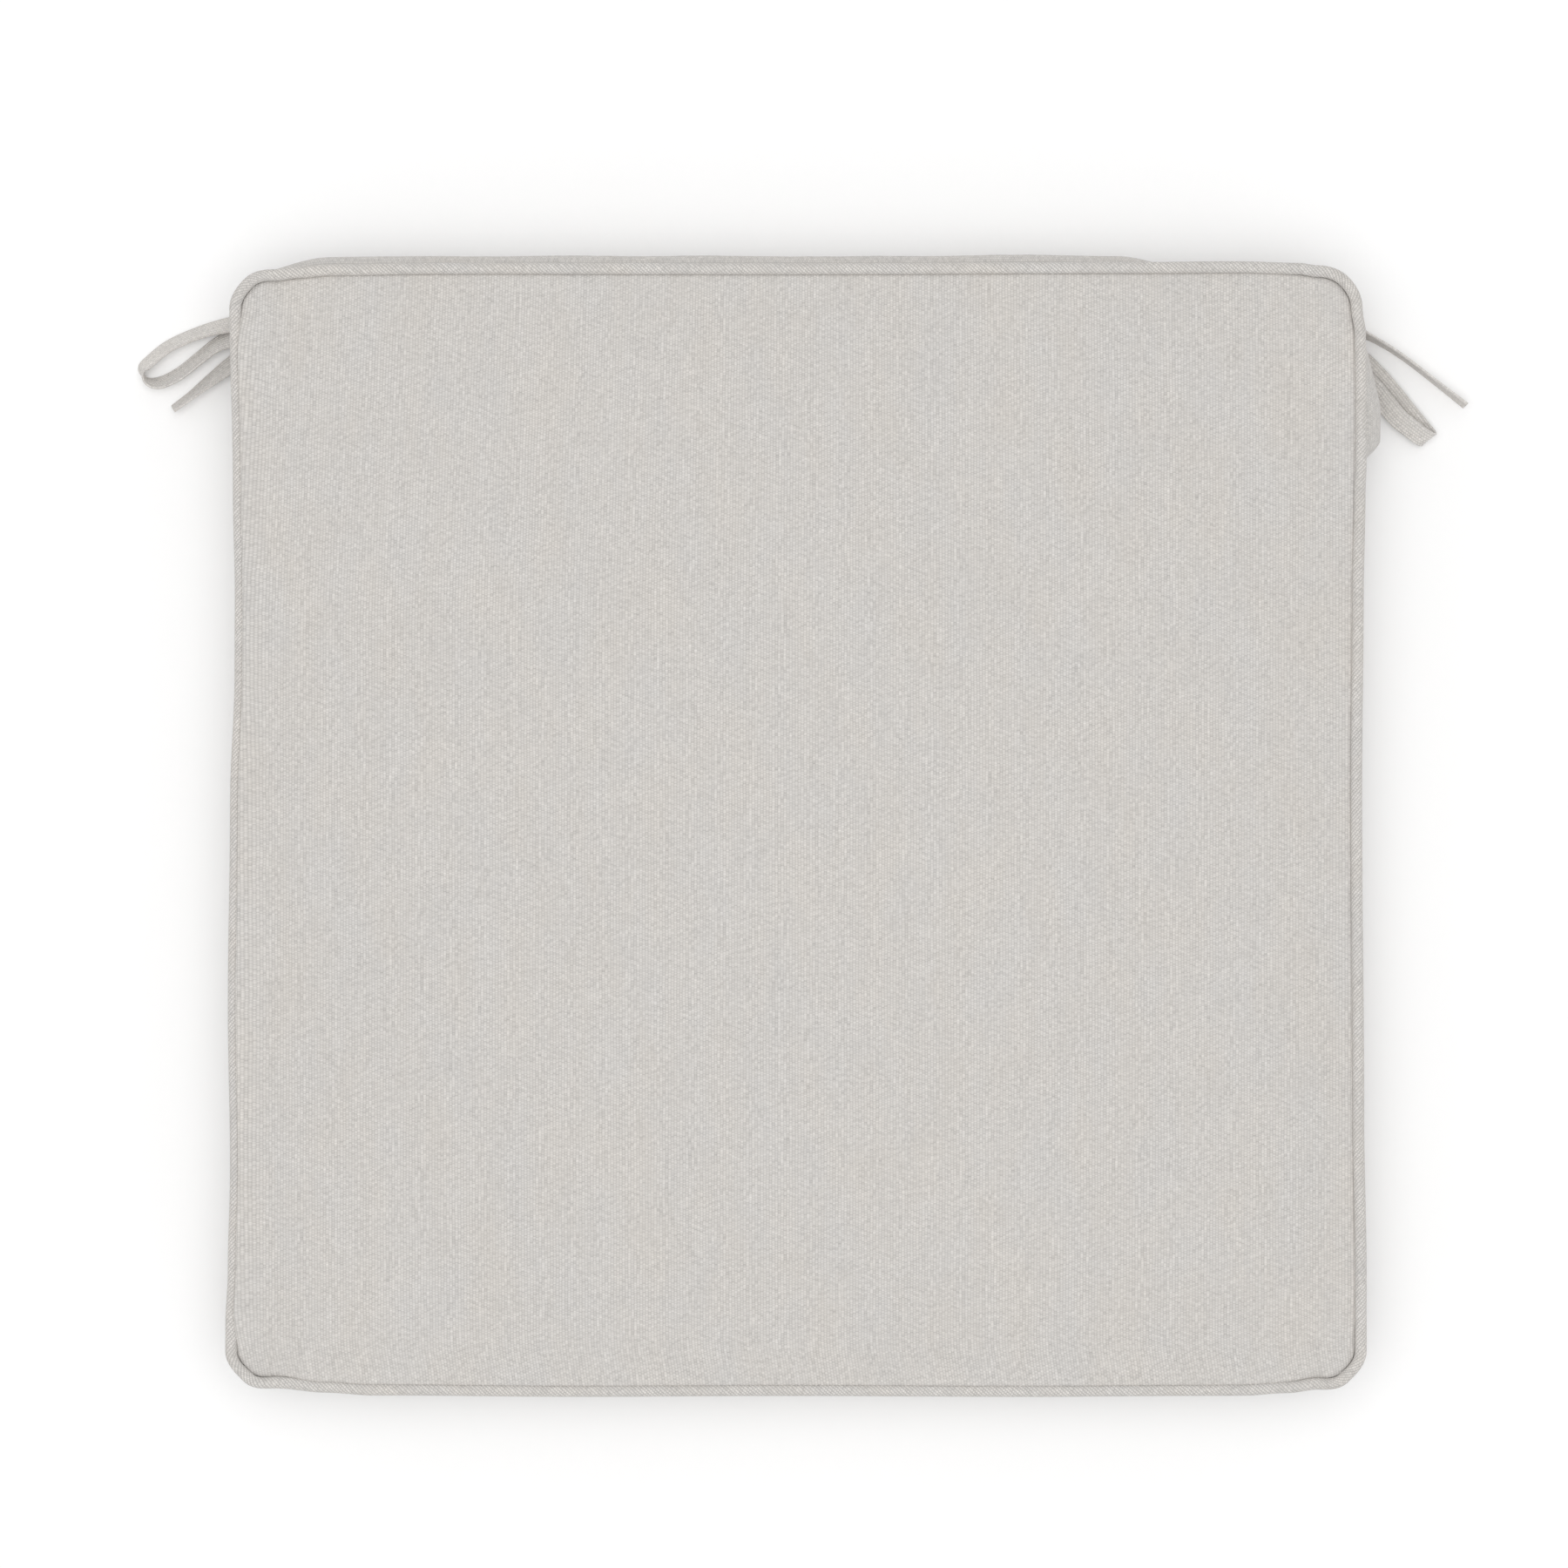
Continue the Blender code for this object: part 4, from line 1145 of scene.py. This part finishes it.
class SEATPAD_OT_ties(SeatPadOperator):
    """Lays out the four flat ties"""

    bl_idname = "seat_pad.ties"
    bl_label = "Ties"

    def execute(self, context):
        sizes = self.sizes
        # Painted light: the ties are the same canvas as the pad, coloured 12% lighter to stand in for light falling on
        # them.
        cloth = canvas_material("tie canvas", self.looks, 0.0, 1.12, 0.3)
        courses = {
            "tie_loop_left": (-1, LEFT_LOOP, "tie_left_loop"),
            "tie_tail_left": (-1, LEFT_TAIL, "tie_left_tail"),
            "tie_tail_right": (1, RIGHT_TAIL, "tie_right_tail"),
            "tie_loop_right": (1, RIGHT_LOOP, "tie_right_loop"),
        }
        for name, (side, rows, node) in courses.items():
            self.lay_tie(name, side, rows, node, sizes, cloth)
        return {"FINISHED"}

    def lay_tie(self, name, side, rows, node, sizes, cloth):
        course = []
        for past, behind, lift, heading, lean in rows:
            course.append((side * (HALF + past * MM), HALF + behind * MM, lift * MM, heading, lean))
        course = smooth_rows(course, 0.0011)
        rings = []
        path = []
        along = [0.0]
        width, thickness = sizes.tie_width, sizes.tie_thickness
        for index, (x, y, lift, heading, lean) in enumerate(course):
            before, after = course[max(index - 1, 0)], course[min(index + 1, len(course) - 1)]
            tangent = (Vector(after[:3]) - Vector(before[:3])).normalized()
            turn, rise = math.radians(heading), math.radians(lean)
            across = Vector((math.cos(turn) * math.cos(rise), math.sin(turn) * math.cos(rise), math.sin(rise)))
            across = (across - across.dot(tangent) * tangent).normalized()
            normal = tangent.cross(across)
            rest = abs(across.z) * width / 2 + abs(normal.z) * thickness / 2
            middle = Vector((x, y, lift + rest + 0.0002))
            if path:
                along.append(along[-1] + (middle - path[-1]).length)
            path.append(middle)
            place = along[-1]
            cup = 0.00025 * noise.noise(Vector((place / 0.018, side * 3.0, len(rows))))
            ring = []
            for share, height in TAPE_SECTION:
                edge = noise.noise(Vector((place / 0.006, share * 2, side))) * 0.00012 * (abs(share) > 0.4)
                ring.append(
                    middle
                    + across * (share * width * 0.98 + edge)
                    + normal * (height * thickness * 0.8 + cup * (share * share * 4 - 0.5))
                )
            rings.append(ring)
        around_ring = [0.0]
        for first, second in zip(TAPE_SECTION, TAPE_SECTION[1:] + TAPE_SECTION[:1]):
            gap = math.dist((first[0] * width, first[1] * thickness), (second[0] * width, second[1] * thickness))
            around_ring.append(around_ring[-1] + gap)
        bm = bmesh.new()
        sweep_rings(bm, rings, False, along, around_ring)
        piece = finish_bmesh(name, bm, cloth)
        piece.data.set_sharp_from_angle(angle=math.radians(60))
        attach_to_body(piece, "pad")
        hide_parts(node)


class SEATPAD_OT_zip(SeatPadOperator):
    """Builds the coil, slider, pull and stitching of the zip"""

    bl_idname = "seat_pad.zip"
    bl_label = "Zip"

    def execute(self, context):
        sizes = self.sizes
        nylon = grain_material("coil nylon", (0.50, 0.48, 0.45), (0.58, 0.56, 0.53), 900, (0.32, 0.45), 0.00002)
        for name, node, way in (
            ("coil_upper", "zipper_coil_upper", 1),
            ("coil_lower", "zipper_coil_lower", -1),
        ):
            piece = self.make_coil(name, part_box(node), way, nylon)
            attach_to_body(piece, "pad")
            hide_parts(node)
        metal = grain_material(
            "slider metal", (0.50, 0.49, 0.47), (0.66, 0.65, 0.63), 1500, (0.26, 0.42), 0.00001, (1, 8, 8), 1.0
        )
        for name, node, body in (
            ("slider_body", "zipper_slider", "slider"),
            ("slider_pull", "zipper_pull", "pull"),
        ):
            piece = self.rounded_copy(name, frame["nodes"][node], metal)
            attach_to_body(piece, body)
            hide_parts(node)
        self.sew(sizes)
        tape = grain_material(
            "zip tape", (0.50, 0.48, 0.45), (0.64, 0.62, 0.59), 900, (0.8, 0.92), 0.00008, (0.4, 1, 1.6)
        )
        for node in ("zipper_tape_upper", "zipper_tape_lower"):
            dress(node, tape)
        return {"FINISHED"}

    def make_coil(self, name, box, way, nylon):
        """One monofilament wound along the tape, flattened, with its heads towards the middle."""
        low, high = box
        wire = 0.00032
        pitch = 0.00125
        turns = round((high.x - low.x - 2 * wire) / pitch)
        per_turn = 8
        centre_y, centre_z = (low.y + high.y) / 2, (low.z + high.z) / 2
        reach_y, reach_z = (high.y - low.y) / 2 - wire, (high.z - low.z) / 2 - wire
        rings = []
        along = []
        for index in range(turns * per_turn + 1):
            angle = 2 * math.pi * index / per_turn
            x = low.x + wire + pitch * index / per_turn
            y = centre_y + reach_y * math.cos(angle)
            z = centre_z + way * reach_z * math.sin(angle)
            out = Vector((0, math.cos(angle), way * math.sin(angle)))
            side = Vector((1, 0, 0))
            rings.append([Vector((x, y, z)) + out * wire, Vector((x, y, z)) + side * wire])
            rings[-1] += [Vector((x, y, z)) - out * wire, Vector((x, y, z)) - side * wire]
            along.append(index * 0.0007)
        bm = bmesh.new()
        sweep_rings(bm, rings, False, along, [0, 0.0005, 0.001, 0.0015, 0.002])
        return finish_bmesh(name, bm, nylon)

    def rounded_copy(self, name, source, material):
        """The CAD piece with its edges broken."""
        bm = bmesh.new()
        bm.from_mesh(source.data)
        bmesh.ops.remove_doubles(bm, verts=bm.verts, dist=0.00001)
        bmesh.ops.dissolve_limit(bm, angle_limit=0.02, verts=bm.verts, edges=bm.edges)
        edges = [edge for edge in bm.edges if len(edge.link_faces) == 2 and edge.calc_face_angle(0) > 0.5]
        bmesh.ops.bevel(
            bm,
            geom=edges,
            offset=0.00013,
            offset_type="OFFSET",
            affect="EDGES",
            segments=2,
            profile=0.5,
            material=-1,
            clamp_overlap=True,
        )
        piece = finish_bmesh(name, bm, material)
        piece.data.set_sharp_from_angle(angle=math.radians(40))
        return piece

    def sew(self, sizes):
        """Topstitching beside the zip, above and below it."""
        _, top, bottom, middle = side_profile(sizes)
        thread = grain_material("thread", (0.56, 0.54, 0.51), (0.68, 0.66, 0.63), 2500, (0.6, 0.8), 0.00003)
        opening = COIL_BOX[1][0] + 0.006
        pitch = 0.0029
        bvh = {}
        depsgraph = bpy.context.evaluated_depsgraph_get()
        for way, name in ((1, "zip_strip_upper"), (-1, "zip_strip_lower")):
            bvh[way] = BVHTree.FromObject(bpy.data.objects[name], depsgraph)
        bm = bmesh.new()
        for way in (1, -1):
            height = middle + way * (sizes.zip_gap / 2 + 0.0042)
            count = int(2 * opening / pitch)
            for number in range(count + 1):
                x = -opening + number * pitch
                hit = bvh[way].ray_cast(Vector((x, HALF + 0.05, height)), Vector((0, -1, 0)))
                if hit[0] is None:
                    continue
                made = bmesh.ops.create_uvsphere(bm, u_segments=6, v_segments=4, radius=1.0)["verts"]
                bmesh.ops.rotate(bm, verts=made, cent=(0, 0, 0), matrix=TURN_TO_X)
                bmesh.ops.scale(bm, vec=(0.00112, 0.00020, 0.00022), verts=made)
                bmesh.ops.translate(bm, vec=hit[0] + Vector((0, 0.00005, 0)), verts=made)
        piece = finish_bmesh("zip_stitching", bm, thread)
        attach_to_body(piece, "pad")


TURN_TO_X = Matrix(((0, 0, 1), (0, 1, 0), (-1, 0, 0)))


class SEATPAD_OT_filling(SeatPadOperator):
    """Builds the foam slab and the two layers of batting"""

    bl_idname = "seat_pad.filling"
    bl_label = "Filling"

    def execute(self, context):
        foam = grain_material("open foam", (0.70, 0.66, 0.50), (0.86, 0.83, 0.70), 500, (0.9, 1.0), 0.0006)
        fibre = grain_material("polyester fibre", (0.80, 0.80, 0.79), (0.93, 0.93, 0.92), 260, (0.9, 1.0), 0.0009)
        piece = self.fluffed_copy("foam_slab", frame["nodes"]["foam_core"], foam, 0.00012)
        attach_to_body(piece, "pad")
        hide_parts("foam_core")
        for name, node in (("batting_layer_top", "batting_top"), ("batting_layer_bottom", "batting_bottom")):
            piece = self.fluffed_copy(name, frame["nodes"][node], fibre, 0.00022, 0.984)
            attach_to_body(piece, "pad")
            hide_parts(node)
        return {"FINISHED"}

    def fluffed_copy(self, name, source, material, depth, spread=1.0):
        """The CAD piece with a finer mesh and a slightly uneven surface, drawn in a little from the seams."""
        bm = bmesh.new()
        bm.from_mesh(source.data)
        bmesh.ops.remove_doubles(bm, verts=bm.verts, dist=0.00001)
        bmesh.ops.dissolve_limit(bm, angle_limit=0.0005, verts=bm.verts, edges=bm.edges)
        bmesh.ops.triangulate(bm, faces=bm.faces)
        for _ in range(3):
            long_edges = [edge for edge in bm.edges if edge.calc_length() > 0.018]
            bmesh.ops.subdivide_edges(bm, edges=long_edges, cuts=1)
            bmesh.ops.triangulate(bm, faces=[face for face in bm.faces if len(face.verts) > 3])
        bmesh.ops.scale(bm, vec=(spread, spread, 1.0), verts=bm.verts)
        bm.normal_update()
        for vert in bm.verts:
            vert.co -= vert.normal * depth * (1 + noise.noise(vert.co * 45.0))
        return finish_bmesh(name, bm, material)


class SEATPAD_OT_stage(SeatPadOperator):
    """Makes the camera, the light and the floor"""

    bl_idname = "seat_pad.stage"
    bl_label = "Stage"

    def execute(self, context):
        stage = context.scene.seat_pad_stage
        scene = context.scene
        camera_data = bpy.data.cameras.new("camera")
        camera_data.sensor_width = 36.0
        camera_data.lens = 36.0 * stage.height / stage.width
        camera = bpy.data.objects.new("camera", camera_data)
        seam = TOP_PIPING[1][2] - self.sizes.piping / 2
        camera.location = (stage.aim[0], stage.aim[1], seam + stage.height)
        scene.collection.objects.link(camera)
        scene.camera = camera
        scene.view_settings.view_transform = "Standard"

        world = bpy.data.worlds.new("soft light")
        world.use_nodes = True
        background = world.node_tree.nodes["Background"]
        background.inputs["Color"].default_value = (1.0, 1.0, 1.0, 1)
        background.inputs["Strength"].default_value = stage.sky
        scene.world = world
        lamp_data = bpy.data.lights.new("overhead", "AREA")
        lamp_data.shape = "RECTANGLE"
        lamp_data.size = 2.2
        lamp_data.size_y = 2.2
        lamp_data.energy = stage.lamp
        lamp = bpy.data.objects.new("overhead", lamp_data)
        lamp.location = (-0.05, -0.05, 3.0)
        lamp.rotation_euler = (Vector((0, 0, 0.05)) - lamp.location).to_track_quat("-Z", "Y").to_euler()
        scene.collection.objects.link(lamp)

        material, tree, shader = base_material("floor")
        geometry = add_node(tree, "ShaderNodeTexCoord")
        fleck = noise_node(tree, geometry.outputs["Object"], 3.0, 2.0)
        white = tuple(stage_colour for stage_colour in self.looks.floor)
        tone = mixed(tree, fleck, white, tuple(channel * 1.01 for channel in white))
        tree.links.new(tone, shader.inputs["Base Color"])
        shader.inputs["Roughness"].default_value = 0.8
        shader.inputs["Specular IOR Level"].default_value = 0.1
        bm = bmesh.new()
        bmesh.ops.create_grid(bm, x_segments=8, y_segments=8, size=6.0)
        floor = finish_bmesh("floor", bm, material, smooth=False)
        return {"FINISHED"}


class SEATPAD_PT_panel(bpy.types.Panel):
    """Lists the pieces and their settings"""

    bl_idname = "SEATPAD_PT_panel"
    bl_label = "Seat Pad"
    bl_space_type = "VIEW_3D"
    bl_region_type = "UI"
    bl_category = "Seat Pad"

    def draw(self, context):
        layout = self.layout
        for group in ("seat_pad_sizes", "seat_pad_looks", "seat_pad_stage"):
            settings = getattr(context.scene, group)
            box = layout.box()
            for name in settings.bl_rna.properties.keys():
                if name not in ("rna_type", "name"):
                    box.prop(settings, name)
        for piece in PIECES:
            layout.operator(piece.bl_idname)


PIECES = (
    SEATPAD_OT_stage,
    SEATPAD_OT_ties,
    SEATPAD_OT_filling,
    SEATPAD_OT_cover,
    SEATPAD_OT_piping,
    SEATPAD_OT_zip,
)
CLASSES = (SeatPadSizes, SeatPadLooks, SeatPadStage, *PIECES, SEATPAD_PT_panel)


def register():
    for item in CLASSES:
        bpy.utils.register_class(item)
    bpy.types.Scene.seat_pad_sizes = bpy.props.PointerProperty(type=SeatPadSizes)
    bpy.types.Scene.seat_pad_looks = bpy.props.PointerProperty(type=SeatPadLooks)
    bpy.types.Scene.seat_pad_stage = bpy.props.PointerProperty(type=SeatPadStage)


def unregister():
    del bpy.types.Scene.seat_pad_stage
    del bpy.types.Scene.seat_pad_looks
    del bpy.types.Scene.seat_pad_sizes
    for item in reversed(CLASSES):
        bpy.utils.unregister_class(item)


def main():
    register()
    bpy.ops.seat_pad.stage()
    bpy.ops.seat_pad.ties()
    bpy.ops.seat_pad.filling()
    bpy.ops.seat_pad.cover()
    bpy.ops.seat_pad.piping()
    bpy.ops.seat_pad.zip()


if __name__ == "__main__":
    main()
